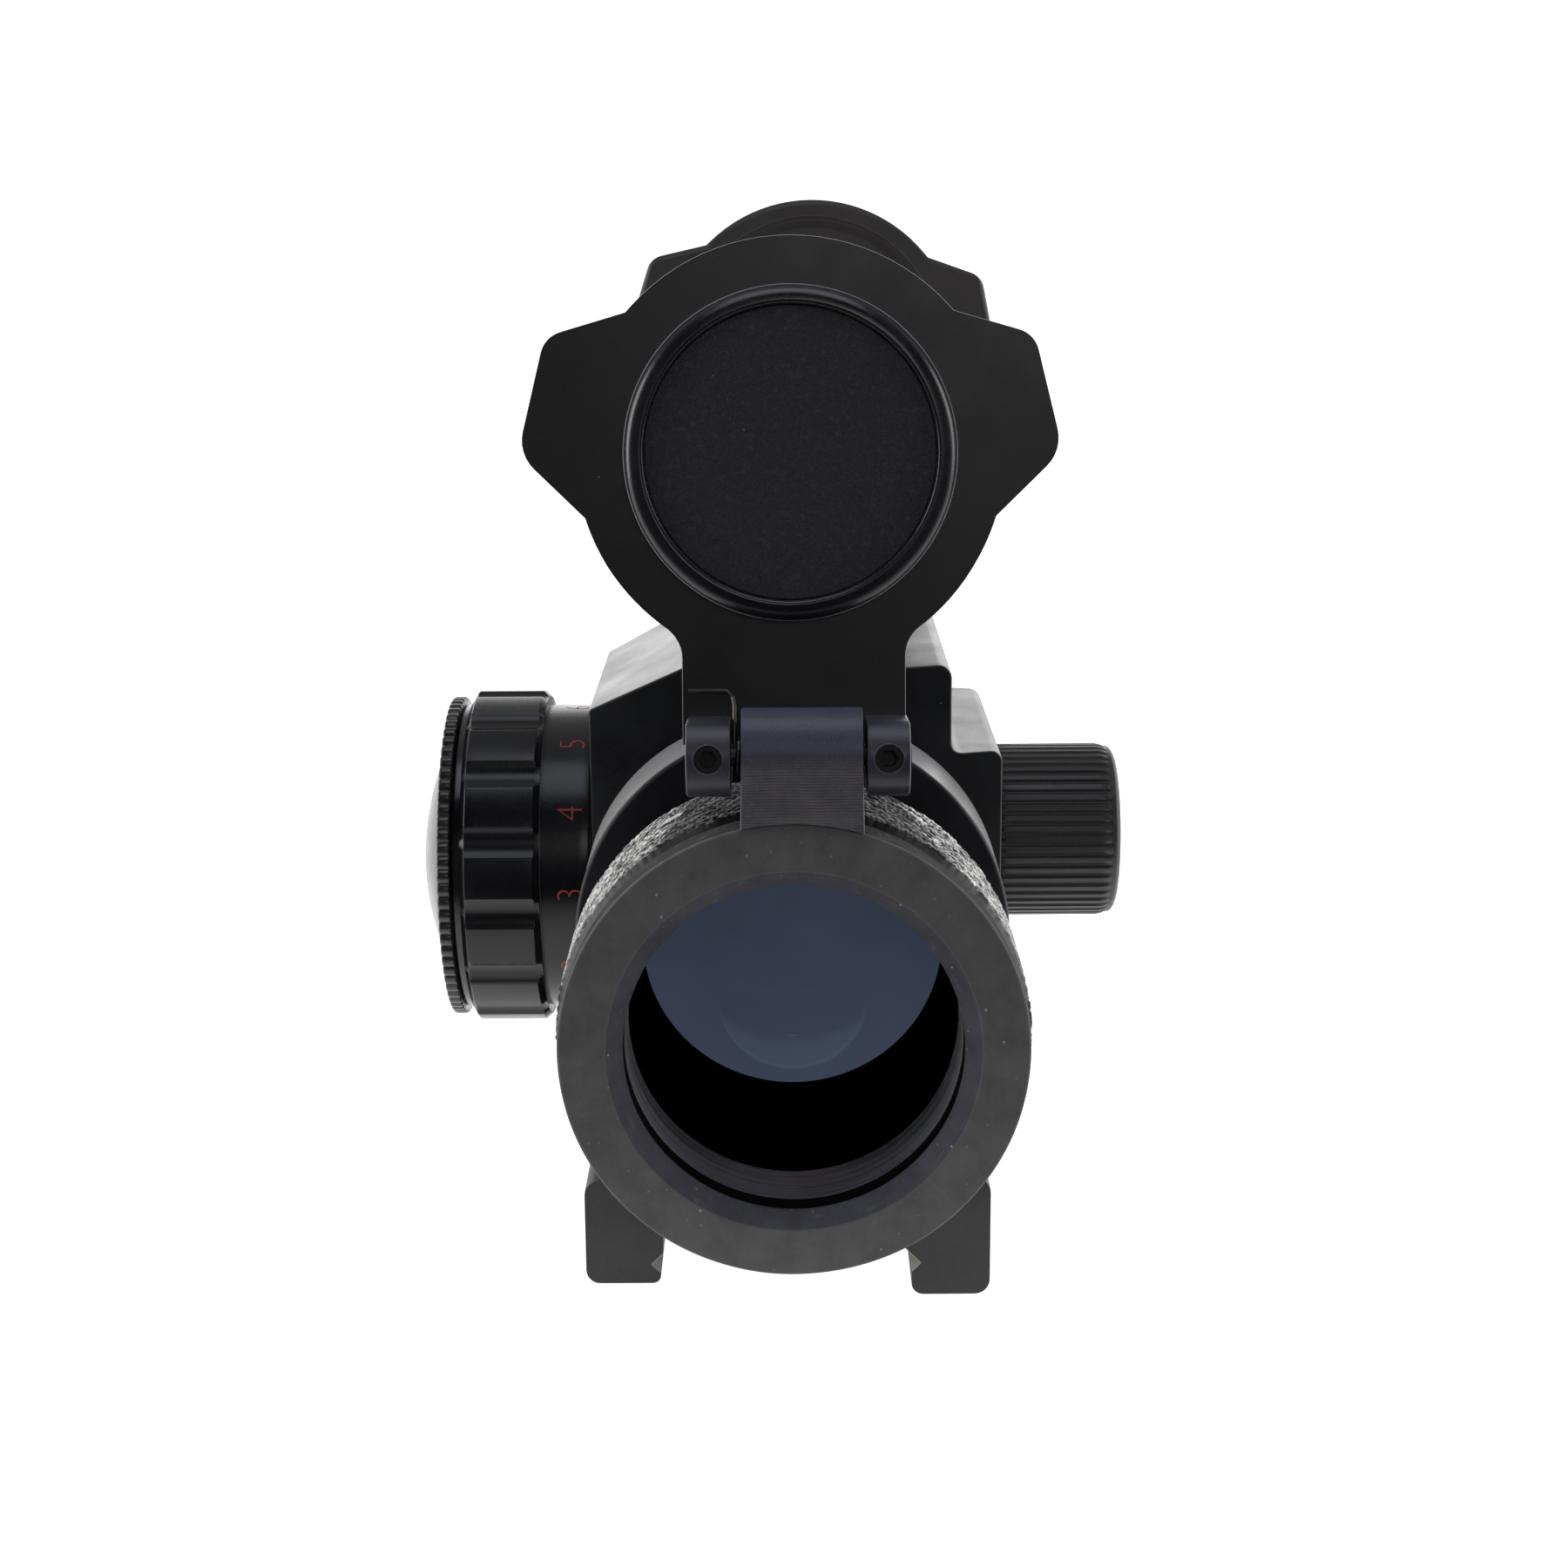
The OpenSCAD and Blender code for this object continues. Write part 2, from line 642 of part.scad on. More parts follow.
module dial() {
  flute_r = 2.1;
  flute_depth = 0.5;
  flute_at = grip_r - flute_depth + flute_r;
  notch_r = 0.85;
  color([0.1, 0.1, 0.12]) at_left_wall() difference() {
    rotate_extrude() polygon([
      [base_r + 0.05, 0.3], [scale_r - 0.2, 0.3], [scale_r, 0.5], [scale_r, scale_end],
      [grip_r - 0.6, scale_end], [grip_r, scale_end + 0.6], [grip_r, grip_end - 0.3],
      [grip_r - 0.3, grip_end], [13.9, grip_end], [13.9, lip_end],
      [cap_thread_r + 0.05, lip_end], [cap_thread_r + 0.05, lip_end - 1.8],
      [chamber_r, lip_end - 1.8], [chamber_r, web[1]], [hub_r + run, web[1]],
      [hub_r + run, web[0]], [base_r + 0.05, web[0]]
    ]);
    for (i = [0:flutes - 1]) rotate([0, 0, -71.2 + 360 * i / flutes])
      translate([flute_at, 0, scale_end - 1]) cylinder(r = flute_r, h = grip_end - scale_end + 1.2, $fn = 48);
    for (i = [0:clicks - 1]) rotate([0, 0, 360 * i / clicks])
      translate([base_r - 0.4, 0, -1]) cylinder(r = notch_r, h = 3.6, $fn = 32);
  }
}

module dial_screw() {
  color("silver") at_left_wall() difference() {
    union() {
      translate([0, 0, 1.5]) cylinder(r = screw_r, h = web[1] + 0.2 - 1.5);
      translate([0, 0, web[1] + 0.12]) cylinder(r = 4.8, h = 0.8);
    }
    translate([-6, -0.4, web[1] + 0.5]) cube([12, 0.8, 2]);
  }
}

module wiper() {
  foot = web[0] - base_t - board_t;
  color("gold") at_left_wall() {
    translate([0, 0, web[0] - 0.31]) ring(6.6, 5, 0.3);
    for (a = [30, 150, 270]) rotate([0, 0, a]) translate([5.8, 0, base_t + board_t + 0.05])
      cylinder(r = 0.4, h = foot - 0.2);
  }
}

module battery_contact() {
  color("gold") at_left_wall(web[1] + eps) {
    ring(9.4, 6.6, 0.25);
    for (a = [0, 120, 240]) rotate([0, 0, a]) translate([7.2, -0.8, 0.2])
      rotate([0, -12, 0]) cube([2, 1.6, 0.25]);
  }
}

module battery() {
  rim = 0.5;
  color("silver") at_left_wall(cell_at) rotate_extrude() polygon([
    [0, 0], [8.6, 0], [8.8, 0.25], [cell_d / 2 - rim, 0.35], [cell_d / 2, 0.35 + rim],
    [cell_d / 2, cell_t - 0.2], [cell_d / 2 - 0.2, cell_t], [0, cell_t]
  ]);
}

module battery_seal() {
  color([0.05, 0.05, 0.05]) at_left_wall(lip_end - 0.8) rotate_extrude()
    translate([cap_thread_r - 0.45, 0]) circle(r = 0.42, $fn = 32);
}

module battery_cap() {
  tooth = 0.25;
  color([0.12, 0.12, 0.12]) at_left_wall() difference() {
    union() {
      translate([0, 0, cap_rim[0]]) linear_extrude(cap_rim[1] - cap_rim[0])
        polygon(toothed(14.26, tooth, 75));
      rotate_extrude() polygon([
        [chamber_r, lip_end - 1.7], [cap_thread_r, lip_end - 1.7],
        [cap_thread_r, lip_end - 1.3], [cap_thread_r - 0.9, lip_end - 1.3],
        [cap_thread_r - 0.9, lip_end - 0.3], [cap_thread_r, lip_end - 0.3],
        [cap_thread_r, cap_rim[0] + 0.1], [chamber_r, cap_rim[0] + 0.1]
      ]);
      intersection() {
        translate([0, 0, cap_rim[1] - 0.2]) cylinder(r = 10.8, h = 5);
        translate([0, 0, cap_rim[1] + dome_h - 23.7]) sphere(r = 23.7);
      }
    }
    translate([0, 0, cap_rim[0] - 1]) cylinder(r = 9.6, h = 1.6);
  }
}

// Rail clamp. The moving jaw stands open by jaw_gap
module clamp_jaw() {
  out = jaw_out + jaw_gap - 0.3;
  low = 1 - jaw_low;
  color([0.25, 0.24, 0.23]) difference() {
    translate([0, body_half, 0]) rotate([90, 0, 0]) linear_extrude(body_len) polygon(rounded([
      [-jaw_face - jaw_gap, jaw_top, 0.3], [-jaw_face - jaw_gap, 1 - groove_z, 0],
      [-rail_half - jaw_gap, -groove_z, 0.05], [-lip_x - jaw_gap, -groove_z - 0.77, 0.2],
      [-lip_x - jaw_gap, low, 0.5], [-out, low, 1.2], [-out, jaw_top, 1.3]
    ]));
    for (s = [-1, 1]) {
      translate([-out - 1, s * screw_y, screw_z]) rotate([0, 90, 0]) {
        cylinder(r = screw_r + run, h = 20);
        cylinder(r = 2.3, h = 3.6);
      }
      translate([-out + 2, s * guide_y, screw_z]) rotate([0, 90, 0])
        cylinder(r = guide_r + fixed, h = 20);
    }
  }
}

module clamp_guides() {
  out = jaw_out + jaw_gap - 0.3;
  color("silver") for (s = [-1, 1]) translate([-out + 2.1, s * guide_y, screw_z])
    rotate([0, 90, 0]) cylinder(r = guide_r, h = 11.5);
}

module clamp_screw(y) {
  head_x = -(jaw_out + jaw_gap - 0.3) + 2.55;
  color("silver") translate([head_x, y, screw_z]) rotate([0, 90, 0]) {
    cylinder(r = screw_r, h = 14.5);
    difference() {
      translate([0, 0, -2.3]) cylinder(r = 2.22, h = 2.3);
      translate([0, 0, -3]) cylinder(r = 1.15, h = 2.2, $fn = 6);
    }
  }
}

// The two ends and the two turrets share their modules
black = [0.12, 0.12, 0.14];
module rear_barrel() color(black) barrel(true);
module rear_bezel() color([0.4, 0.4, 0.42]) bezel();
module rear_rubber_ring() color([0.26, 0.26, 0.25]) rubber_ring();
module rear_window() color([0.18, 0.22, 0.3, 0.5]) window();
module rear_window_ring() color(black) window_ring();
module front_barrel() color(black) on_front() barrel(false);
module front_bezel() color([0.4, 0.4, 0.42]) on_front() bezel();
module front_rubber_ring() color([0.26, 0.26, 0.25]) on_front() rubber_ring();
module rear_cover() color(black) cover(rear_open);
module rear_cover_pad() color([0.11, 0.11, 0.12]) cover_pad(rear_open);
module rear_hinge_pin() color("silver") hinge_pin();
module rear_hinge_spring() color("silver") hinge_spring(rear_open);
module rear_hinge_grubs() color([0.1, 0.1, 0.1]) hinge_grubs(rear_open);
module front_cover() color(black) on_front() cover(front_open);
module front_cover_pad() color([0.11, 0.11, 0.12]) on_front() cover_pad(front_open);
module front_hinge_pin() color("silver") on_front() hinge_pin();
module front_hinge_spring() color("silver") on_front() hinge_spring(front_open);
module front_hinge_grubs() color([0.1, 0.1, 0.1]) on_front() hinge_grubs(front_open);
module elevation_bushing() color("gray") at_elevation() bushing();
module elevation_adjuster() color("gold") at_elevation() adjuster();
module elevation_plunger() color("silver") at_elevation() plunger(top_reach);
module elevation_seal() color(black) at_elevation() seal();
module elevation_cap() color([0.17, 0.16, 0.16]) at_elevation() turret_cap();
module windage_bushing() color("gray") at_windage() bushing();
module windage_adjuster() color("gold") at_windage() adjuster();
module windage_plunger() color("silver") at_windage() plunger(side_reach);
module windage_seal() color(black) at_windage() seal();
module windage_cap() color([0.17, 0.16, 0.16]) at_windage() turret_cap();
module clamp_screw_rear() clamp_screw(-screw_y);
module clamp_screw_front() clamp_screw(screw_y);

body();
rear_barrel();
rear_bezel();
rear_rubber_ring();
rear_window();
rear_window_ring();
front_barrel();
front_bezel();
front_rubber_ring();
rear_cover();
rear_cover_pad();
rear_hinge_pin();
rear_hinge_spring();
rear_hinge_grubs();
front_cover();
front_cover_pad();
front_hinge_pin();
front_hinge_spring();
front_hinge_grubs();
gimbal_ring();
gimbal_pins();
optic_carrier();
carrier_pins();
objective_lens();
objective_ring();
led_holder();
led_emitter();
led_wires();
return_spring();
elevation_bushing();
elevation_adjuster();
elevation_plunger();
elevation_seal();
elevation_cap();
windage_bushing();
windage_adjuster();
windage_plunger();
windage_seal();
windage_cap();
dial_base();
dial_base_screws();
contact_board();
detent_ball();
detent_spring();
dial();
dial_screw();
wiper();
battery_contact();
battery();
battery_seal();
battery_cap();
clamp_jaw();
clamp_guides();
clamp_screw_rear();
clamp_screw_front();
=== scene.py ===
import json
import math
import bpy
import bmesh
from mathutils import Matrix, Vector, noise


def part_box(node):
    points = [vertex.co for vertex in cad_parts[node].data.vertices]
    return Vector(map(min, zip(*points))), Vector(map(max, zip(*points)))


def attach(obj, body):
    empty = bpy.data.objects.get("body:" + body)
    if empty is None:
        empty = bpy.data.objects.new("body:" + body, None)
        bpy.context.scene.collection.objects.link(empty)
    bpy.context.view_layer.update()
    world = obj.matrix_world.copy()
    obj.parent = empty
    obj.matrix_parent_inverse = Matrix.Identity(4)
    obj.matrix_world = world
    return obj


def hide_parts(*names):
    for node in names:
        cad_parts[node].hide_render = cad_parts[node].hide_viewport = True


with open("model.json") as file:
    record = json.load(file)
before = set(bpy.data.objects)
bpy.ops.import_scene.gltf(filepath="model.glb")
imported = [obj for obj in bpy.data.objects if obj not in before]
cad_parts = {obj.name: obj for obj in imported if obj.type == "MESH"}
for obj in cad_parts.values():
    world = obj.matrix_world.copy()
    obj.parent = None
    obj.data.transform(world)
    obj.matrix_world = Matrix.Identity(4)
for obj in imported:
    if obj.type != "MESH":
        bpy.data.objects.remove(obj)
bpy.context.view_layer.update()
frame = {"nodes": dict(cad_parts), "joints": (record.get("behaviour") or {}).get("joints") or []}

MM = 0.001
TAU = 2 * math.pi


def corners(node):
    """A CAD node's lowest and highest corners, in millimetres."""
    lo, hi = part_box(node)
    return Vector(lo) / MM, Vector(hi) / MM


# ---------------------------------------------------------------- sizes, from the frame
ring_lo, ring_hi = corners("rear_rubber_ring")
AXIS_H = (ring_lo.z + ring_hi.z) / 2
END_Y = -ring_lo.y
RING_R = (ring_hi.x - ring_lo.x) / 2
CLEAR_R = RING_R - 4.7
RING_LEN = 3.0
BEZEL_R = RING_R + 0.4
BEZEL_END = RING_LEN + 10.7
BARREL_R = BEZEL_R - 3.6
TONGUE = (14.75, 15.55)  # radii of the tongue that holds the rubber ring in its bezel
TONGUE_LEN = 1.4
jaw_lo, jaw_hi = corners("clamp_jaw")
BODY_HALF = jaw_hi.y
COLLAR_R = BEZEL_R + 0.4
BORE_STEP = 8.5
BORE_R = COLLAR_R - 3.3
cap_lo, cap_hi = corners("elevation_cap")
TOP_Z = cap_lo.z - 0.05
CAP_R = (cap_hi.x - cap_lo.x) / 2
CAP_H = cap_hi.z - TOP_Z
wind_lo, wind_hi = corners("windage_cap")
RIGHT_WALL = wind_lo.x - 0.05
WINDAGE_Z = (wind_lo.z + wind_hi.z) / 2
dial_lo, dial_hi = corners("dial")
DIAL_Z = (dial_lo.z + dial_hi.z) / 2
LEFT_WALL = -dial_hi.x - 0.3
GRIP_R = (dial_hi.z - dial_lo.z) / 2
SCALE_R = GRIP_R - 1.3
joint = {j["name"]: j for j in frame["joints"]}
REAR_OPEN = math.radians(joint["rear_cover_flip"]["range_deg"][1])
FRONT_OPEN = math.radians(joint["front_cover_flip"]["range_deg"][1])
rear_pin = Vector(joint["rear_cover_flip"]["pos_m"]) / MM
HINGE_X = rear_pin.x
PIN_Y = -rear_pin.y
PIN_Z = rear_pin.z
PIN_RISE = PIN_Z - AXIS_H
front_axis = joint["front_cover_flip"]["axis"]
CLOCK = math.atan2(front_axis[2], -front_axis[0])
HOUSING_HALF = 13.3  # half the turret housing's length along the tube, at its left wall
TAPER = math.tan(math.radians(17))
EAR_R = 2.85
KNUCKLE_TOP = 3.45
EAR_X = ((-7.86, -4.73), (4.83, 7.85))
KNUCKLE_X = (-3.98, 4.54)
COVER_FACE = 2.89
COVER_T = 1.9
COVER_R = 15.3
PLUG_R = 11.5
PAD_R = 10.36
JAW_REACH = 16.2  # how far the clamp jaw would reach from the middle if it were shut
JAW_GAP = -jaw_lo.x - JAW_REACH
CLAMP_SCREW_Y = (-15, 15)
CLAMP_GUIDE_Y = (-8, 8)
CLAMP_HOLE_Z = 2.5
RAIL_HALF = 10.65
GROOVE = 2.74  # depth of the rail groove's apex under the seat
GROOVE_LIP = 0.77


# ---------------------------------------------------------------- mesh tools
def placed(origin, z_axis, x_axis):
    """A matrix whose local Z runs along z_axis from origin, in millimetres."""
    z = Vector(z_axis).normalized()
    x = Vector(x_axis).normalized()
    y = z.cross(x)
    m = Matrix((x, y, z)).transposed().to_4x4()
    m.translation = Vector(origin)
    return m


def new_piece(name, bm, m, material, body, nodes=(), sharp=30):
    """Turns a bmesh in millimetres into a piece that rides on a body."""
    bm.transform(m)
    if m.determinant() < 0:
        bmesh.ops.reverse_faces(bm, faces=bm.faces)
    bmesh.ops.scale(bm, vec=(MM, MM, MM), verts=bm.verts)
    mesh = bpy.data.meshes.new(name)
    bm.to_mesh(mesh)
    bm.free()
    for p in mesh.polygons:
        p.use_smooth = True
    mesh.set_sharp_from_angle(angle=math.radians(sharp))
    obj = bpy.data.objects.new(name, mesh)
    bpy.context.scene.collection.objects.link(obj)
    for one in material if isinstance(material, (list, tuple)) else [material]:
        mesh.materials.append(one)
    obj.modifiers.new("flat_faces", "WEIGHTED_NORMAL").keep_sharp = True
    if body:
        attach(obj, body)
    if nodes:
        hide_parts(*nodes)
    return obj


def arc(cx, cy, r, a0, a1, n):
    """n + 1 points on an arc, angles in degrees."""
    return [(cx + r * math.cos(math.radians(a0 + (a1 - a0) * i / n)),
             cy + r * math.sin(math.radians(a0 + (a1 - a0) * i / n))) for i in range(n + 1)]


def rounded(points, n=5, closed=True):
    """An outline whose corners are (x, y) or (x, y, radius)."""
    out = []
    count = len(points)
    for i, p in enumerate(points):
        r = p[2] if len(p) > 2 else 0
        b = Vector(p[:2])
        if r == 0 or (not closed and i in (0, count - 1)):
            out.append(tuple(b))
            continue
        a = Vector(points[i - 1][:2])
        c = Vector(points[(i + 1) % count][:2])
        u = (a - b).normalized()
        v = (c - b).normalized()
        half = u.angle(v) / 2
        centre = b + (u + v).normalized() * r / math.sin(half)
        p0 = b + u * r / math.tan(half) - centre
        p1 = b + v * r / math.tan(half) - centre
        start = math.atan2(p0.y, p0.x)
        turn = math.atan2(p0.x * p1.y - p0.y * p1.x, p0.dot(p1))
        for k in range(n + 1):
            t = start + turn * k / n
            out.append((centre.x + r * math.cos(t), centre.y + r * math.sin(t)))
    return out


def dense(profile, step, closed=True):
    """Adds points so that no side of the profile is longer than step."""
    out = []
    count = len(profile)
    for i in range(count if closed else count - 1):
        a = Vector(profile[i])
        b = Vector(profile[(i + 1) % count])
        n = max(1, math.ceil((b - a).length / step))
        out += [tuple(a.lerp(b, k / n)) for k in range(n)]
    return out if closed else out + [profile[-1]]


def lathe(profile, segments=160, relief=None, wear=None):
    """Revolves a closed (r, z) outline about Z. relief(angle, r, z) returns a new radius.

    A point on the axis becomes one vertex. wear(angle, r, z) fills a vertex attribute of that name,
    used for worn crests and painted shade."""
    bm = bmesh.new()
    layer = bm.verts.layers.float.new("wear") if wear else None
    columns = []
    for r, z in profile:
        if r < 1e-6:
            v = bm.verts.new((0, 0, z))
            columns.append([v] * segments)
            continue
        column = []
        for k in range(segments):
            t = TAU * k / segments
            rr = relief(t, r, z) if relief else r
            v = bm.verts.new((rr * math.cos(t), rr * math.sin(t), z))
            if wear:
                v[layer] = wear(t, r, z)
            column.append(v)
        columns.append(column)
    for i in range(len(profile)):
        a = columns[i]
        b = columns[(i + 1) % len(profile)]
        for k in range(segments):
            n = (k + 1) % segments
            ring = []
            for v in (a[k], a[n], b[n], b[k]):
                if v not in ring:
                    ring.append(v)
            if len(ring) > 2:
                bm.faces.new(ring)
    bmesh.ops.recalc_face_normals(bm, faces=bm.faces)
    return bm


def prism(outline, depth, bevel=0.0, segments=3, limit=28):
    """Extrudes an outline along Z from 0 to depth, with its sharp edges rounded."""
    bm = bmesh.new()
    low = [bm.verts.new((x, y, 0)) for x, y in outline]
    high = [bm.verts.new((x, y, depth)) for x, y in outline]
    bm.faces.new(low[::-1])
    bm.faces.new(high)
    for i in range(len(low)):
        j = (i + 1) % len(low)
        bm.faces.new((low[i], low[j], high[j], high[i]))
    bmesh.ops.recalc_face_normals(bm, faces=bm.faces)
    if bevel:
        round_edges(bm, bevel, segments, limit)
    return bm


def round_edges(bm, width, segments=3, limit=28):
    """Bevels every edge that is sharper than limit degrees."""
    sharp = [e for e in bm.edges if len(e.link_faces) == 2
             and e.calc_face_angle(0) > math.radians(limit)]
    bmesh.ops.bevel(bm, geom=sharp, offset=width, segments=segments, profile=0.5,
                    affect="EDGES", clamp_overlap=True)


def temp(bm, m=Matrix.Identity(4)):
    """A loose object for a boolean, in metres."""
    bm.transform(m)
    if m.determinant() < 0:
        bmesh.ops.reverse_faces(bm, faces=bm.faces)
    bmesh.ops.scale(bm, vec=(MM, MM, MM), verts=bm.verts)
    mesh = bpy.data.meshes.new("temp")
    bm.to_mesh(mesh)
    bm.free()
    obj = bpy.data.objects.new("temp", mesh)
    bpy.context.scene.collection.objects.link(obj)
    return obj


def boolean(obj, other, operation="UNION"):
    """Applies a boolean to obj's mesh and removes the other object."""
    mod = obj.modifiers.new("boolean", "BOOLEAN")
    mod.operation = operation
    mod.solver = "EXACT"
    mod.object = other
    bpy.context.view_layer.update()
    done = bpy.data.meshes.new_from_object(obj.evaluated_get(bpy.context.evaluated_depsgraph_get()))
    obj.modifiers.clear()
    obj.data = done
    bpy.data.objects.remove(other)
    return obj


def to_bmesh(obj):
    """The object's mesh in millimetres; the object is removed."""
    bm = bmesh.new()
    bm.from_mesh(obj.data)
    bpy.data.objects.remove(obj)
    bmesh.ops.scale(bm, vec=(1 / MM, 1 / MM, 1 / MM), verts=bm.verts)
    bmesh.ops.remove_doubles(bm, verts=bm.verts, dist=1e-4)
    return bm


def drill(obj, origin, direction, r, h, segments=48):
    """Cuts a round hole of radius r from origin along direction for h millimetres."""
    side = (0, 0, 1) if abs(Vector(direction).normalized().z) < 0.9 else (1, 0, 0)
    across = Vector(direction).cross(Vector(side))
    rod = lathe([(0, 0), (r, 0), (r, h), (0, h)], segments)
    return boolean(obj, temp(rod, placed(origin, direction, across)), "DIFFERENCE")


REAR_END = placed((0, -END_Y, AXIS_H), (0, 1, 0), (1, 0, 0))
FRONT = (Matrix.Translation((0, 0, AXIS_H)) @ Matrix.Rotation(CLOCK, 4, "Y")
         @ Matrix.Translation((0, 0, -AXIS_H)) @ Matrix.Diagonal((1, -1, 1, 1)))
ONE = Matrix.Identity(4)
AT_PIN = Matrix.Translation((HINGE_X, -PIN_Y, PIN_Z))
LEFT = placed((-LEFT_WALL, 0, DIAL_Z), (-1, 0, 0), (0, -1, 0))


# ---------------------------------------------------------------- materials
class Shader:
    """A short way to write a node material. Texture sizes are in millimetres."""

    def __init__(self, name, **values):
        self.material = bpy.data.materials.new(name)
        self.material.use_nodes = True
        self.nodes = self.material.node_tree.nodes
        self.links = self.material.node_tree.links
        self.bsdf = self.nodes["Principled BSDF"]
        self.coord = self.nodes.new("ShaderNodeTexCoord").outputs["Object"]
        for key, value in values.items():
            self.bsdf.inputs[key.replace("_", " ")].default_value = value

    def node(self, kind, inputs=None, **settings):
        n = self.nodes.new("ShaderNode" + kind)
        for key, value in settings.items():
            setattr(n, key, value)
        for key, value in (inputs or {}).items():
            if isinstance(value, bpy.types.NodeSocket):
                self.links.new(value, n.inputs[key])
            else:
                n.inputs[key].default_value = value
        return n

    def noise(self, size, detail=3, rough=0.55, stretch=(1, 1, 1), coord=None):
        """Noise whose grains are about size millimetres across."""
        place = self.node("Mapping", {0: coord or self.coord,
                                      3: [s / (size * MM) for s in stretch]})
        return self.node("TexNoise", {"Vector": place.outputs[0], "Scale": 1, "Detail": detail,
                                      "Roughness": rough}).outputs[0]

    def around_tube(self):
        """Coordinates unrolled about the tube: length along the arc, and Y."""
        split = self.node("SeparateXYZ", {0: self.coord})
        up = self.math("SUBTRACT", split.outputs["Z"], AXIS_H * MM)
        turn = self.math("ARCTAN2", up, split.outputs["X"])
        return self.node("CombineXYZ", {0: self.math("MULTIPLY", turn, BEZEL_R * MM),
                                        1: split.outputs["Y"]}).outputs[0]

    def ramp(self, value, low, high, out_low=0.0, out_high=1.0):
        """Maps low..high of a value to out_low..out_high, clamped."""
        return self.node("MapRange", {0: value, 1: low, 2: high, 3: out_low, 4: out_high}).outputs[0]

    def math(self, operation, a, b=0.0):
        return self.node("Math", {0: a, 1: b}, operation=operation).outputs[0]

    def mix(self, factor, a, b):
        n = self.node("Mix", data_type="RGBA")
        for socket, value in ((n.inputs[0], factor), (n.inputs[6], a), (n.inputs[7], b)):
            if isinstance(value, bpy.types.NodeSocket):
                self.links.new(value, socket)
            else:
                socket.default_value = value
        return n.outputs[2]

    def specks(self, cell, size, share):
        """1 inside sparse dust specks: one may sit in each cell of the given width."""
        place = self.node("Mapping", {0: self.coord, 3: [1 / (cell * MM)] * 3})
        bent = self.node("MixRGB", {0: 0.25, 1: place.outputs[0], 2: self.node(
            "TexNoise", {"Vector": place.outputs[0], "Scale": 4}).outputs[1]}, blend_type="ADD")
        v = self.node("TexVoronoi", {"Vector": bent.outputs[0], "Scale": 1})
        near = self.ramp(v.outputs["Distance"], size, size * 0.6)
        chosen = self.node("SeparateColor", {0: v.outputs["Color"]}).outputs[0]
        return self.math("MULTIPLY", near, self.math("GREATER_THAN", chosen, 1 - share))

    def worn_edges(self, radius, low=0.03, high=0.25):
        """1 along convex and concave edges, from the difference that rounding them makes."""
        soft = self.node("Bevel", {0: radius * MM}, samples=4).outputs[0]
        plain = self.node("NewGeometry").outputs["Normal"]
        dot = self.node("VectorMath", {0: soft, 1: plain}, operation="DOT_PRODUCT").outputs["Value"]
        return self.ramp(self.math("SUBTRACT", 1, dot), low, high)

    def grazing(self):
        """0 where the surface faces the viewer, 1 where it is seen edge on."""
        return self.node("LayerWeight", {"Blend": 0.5}).outputs["Facing"]

    def bump(self, height, strength, distance=0.02, normal=None):
        inputs = {"Height": height, "Strength": strength, "Distance": distance * MM}
        if normal:
            inputs["Normal"] = normal
        return self.node("Bump", inputs).outputs[0]

    def use(self, **sockets):
        for key, value in sockets.items():
            self.links.new(value, self.bsdf.inputs[key.replace("_", " ")])
        return self.material


def rgb(r, g, b):
    """A colour from display values of 0 to 255."""
    return tuple(((c / 255 + 0.055) / 1.055) ** 2.4 if c > 10 else c / 255 / 12.92
                 for c in (r, g, b)) + (1,)


def anodised(name, colour, rough=0.34, grain=0.25, dust=0.03, edge=0.25, lines=None, ior=1.5,
             painted_sheen=None):
    """Anodised aluminium: a fine blasted grain, uneven gloss, dust and edges lightened as wear and
    as painted highlights; painted_sheen paints the colour light where the surface is seen edge on.
    """
    s = Shader(name, IOR=ior)
    fine = s.noise(grain, 4)
    broad = s.noise(6, 3)
    colour_a = rgb(*colour)
    colour_b = tuple(c * 1.7 for c in colour_a[:3]) + (1,)
    base = s.mix(s.ramp(broad, 0.35, 0.7), colour_a, colour_b)
    base = s.mix(s.math("MULTIPLY", s.ramp(fine, 0.55, 0.75), 0.35), base,
                 tuple(c * 3 for c in colour_a[:3]) + (1,))
    # edges lightened: partly wear, partly painted highlights
    base = s.mix(s.math("MULTIPLY", s.worn_edges(0.12), edge), base, rgb(150, 150, 155))
    base = s.mix(s.math("MULTIPLY", s.specks(2.6, 0.035, dust * 6), 0.75), base, rgb(150, 150, 150))
    # painted sheen: the base colour turns light where the surface is seen edge on
    if painted_sheen:
        base = s.mix(s.ramp(s.grazing(), 0.6, 0.82), base, rgb(*painted_sheen))
    normal = s.bump(fine, 0.35, 0.01)
    if lines:
        cut = lines(s)
        base = s.mix(s.math("MULTIPLY", s.ramp(cut, 0.42, 0.58), 0.6), base, rgb(12, 12, 13))
        normal = s.bump(cut, 0.6, 0.012, normal)
    roughness = s.math("ADD", s.ramp(broad, 0.3, 0.7, rough - 0.05, rough + 0.05),
                       s.math("MULTIPLY", fine, 0.08))
    return s.use(Base_Color=base, Roughness=roughness, Normal=normal)


def lathe_lines(pitch, axis):
    """Turning lines around the given axis, as a height."""
    def make(s):
        stretch = [0.02] * 3
        stretch[axis] = 1
        return s.noise(pitch, 2, 0.6, stretch)
    return make


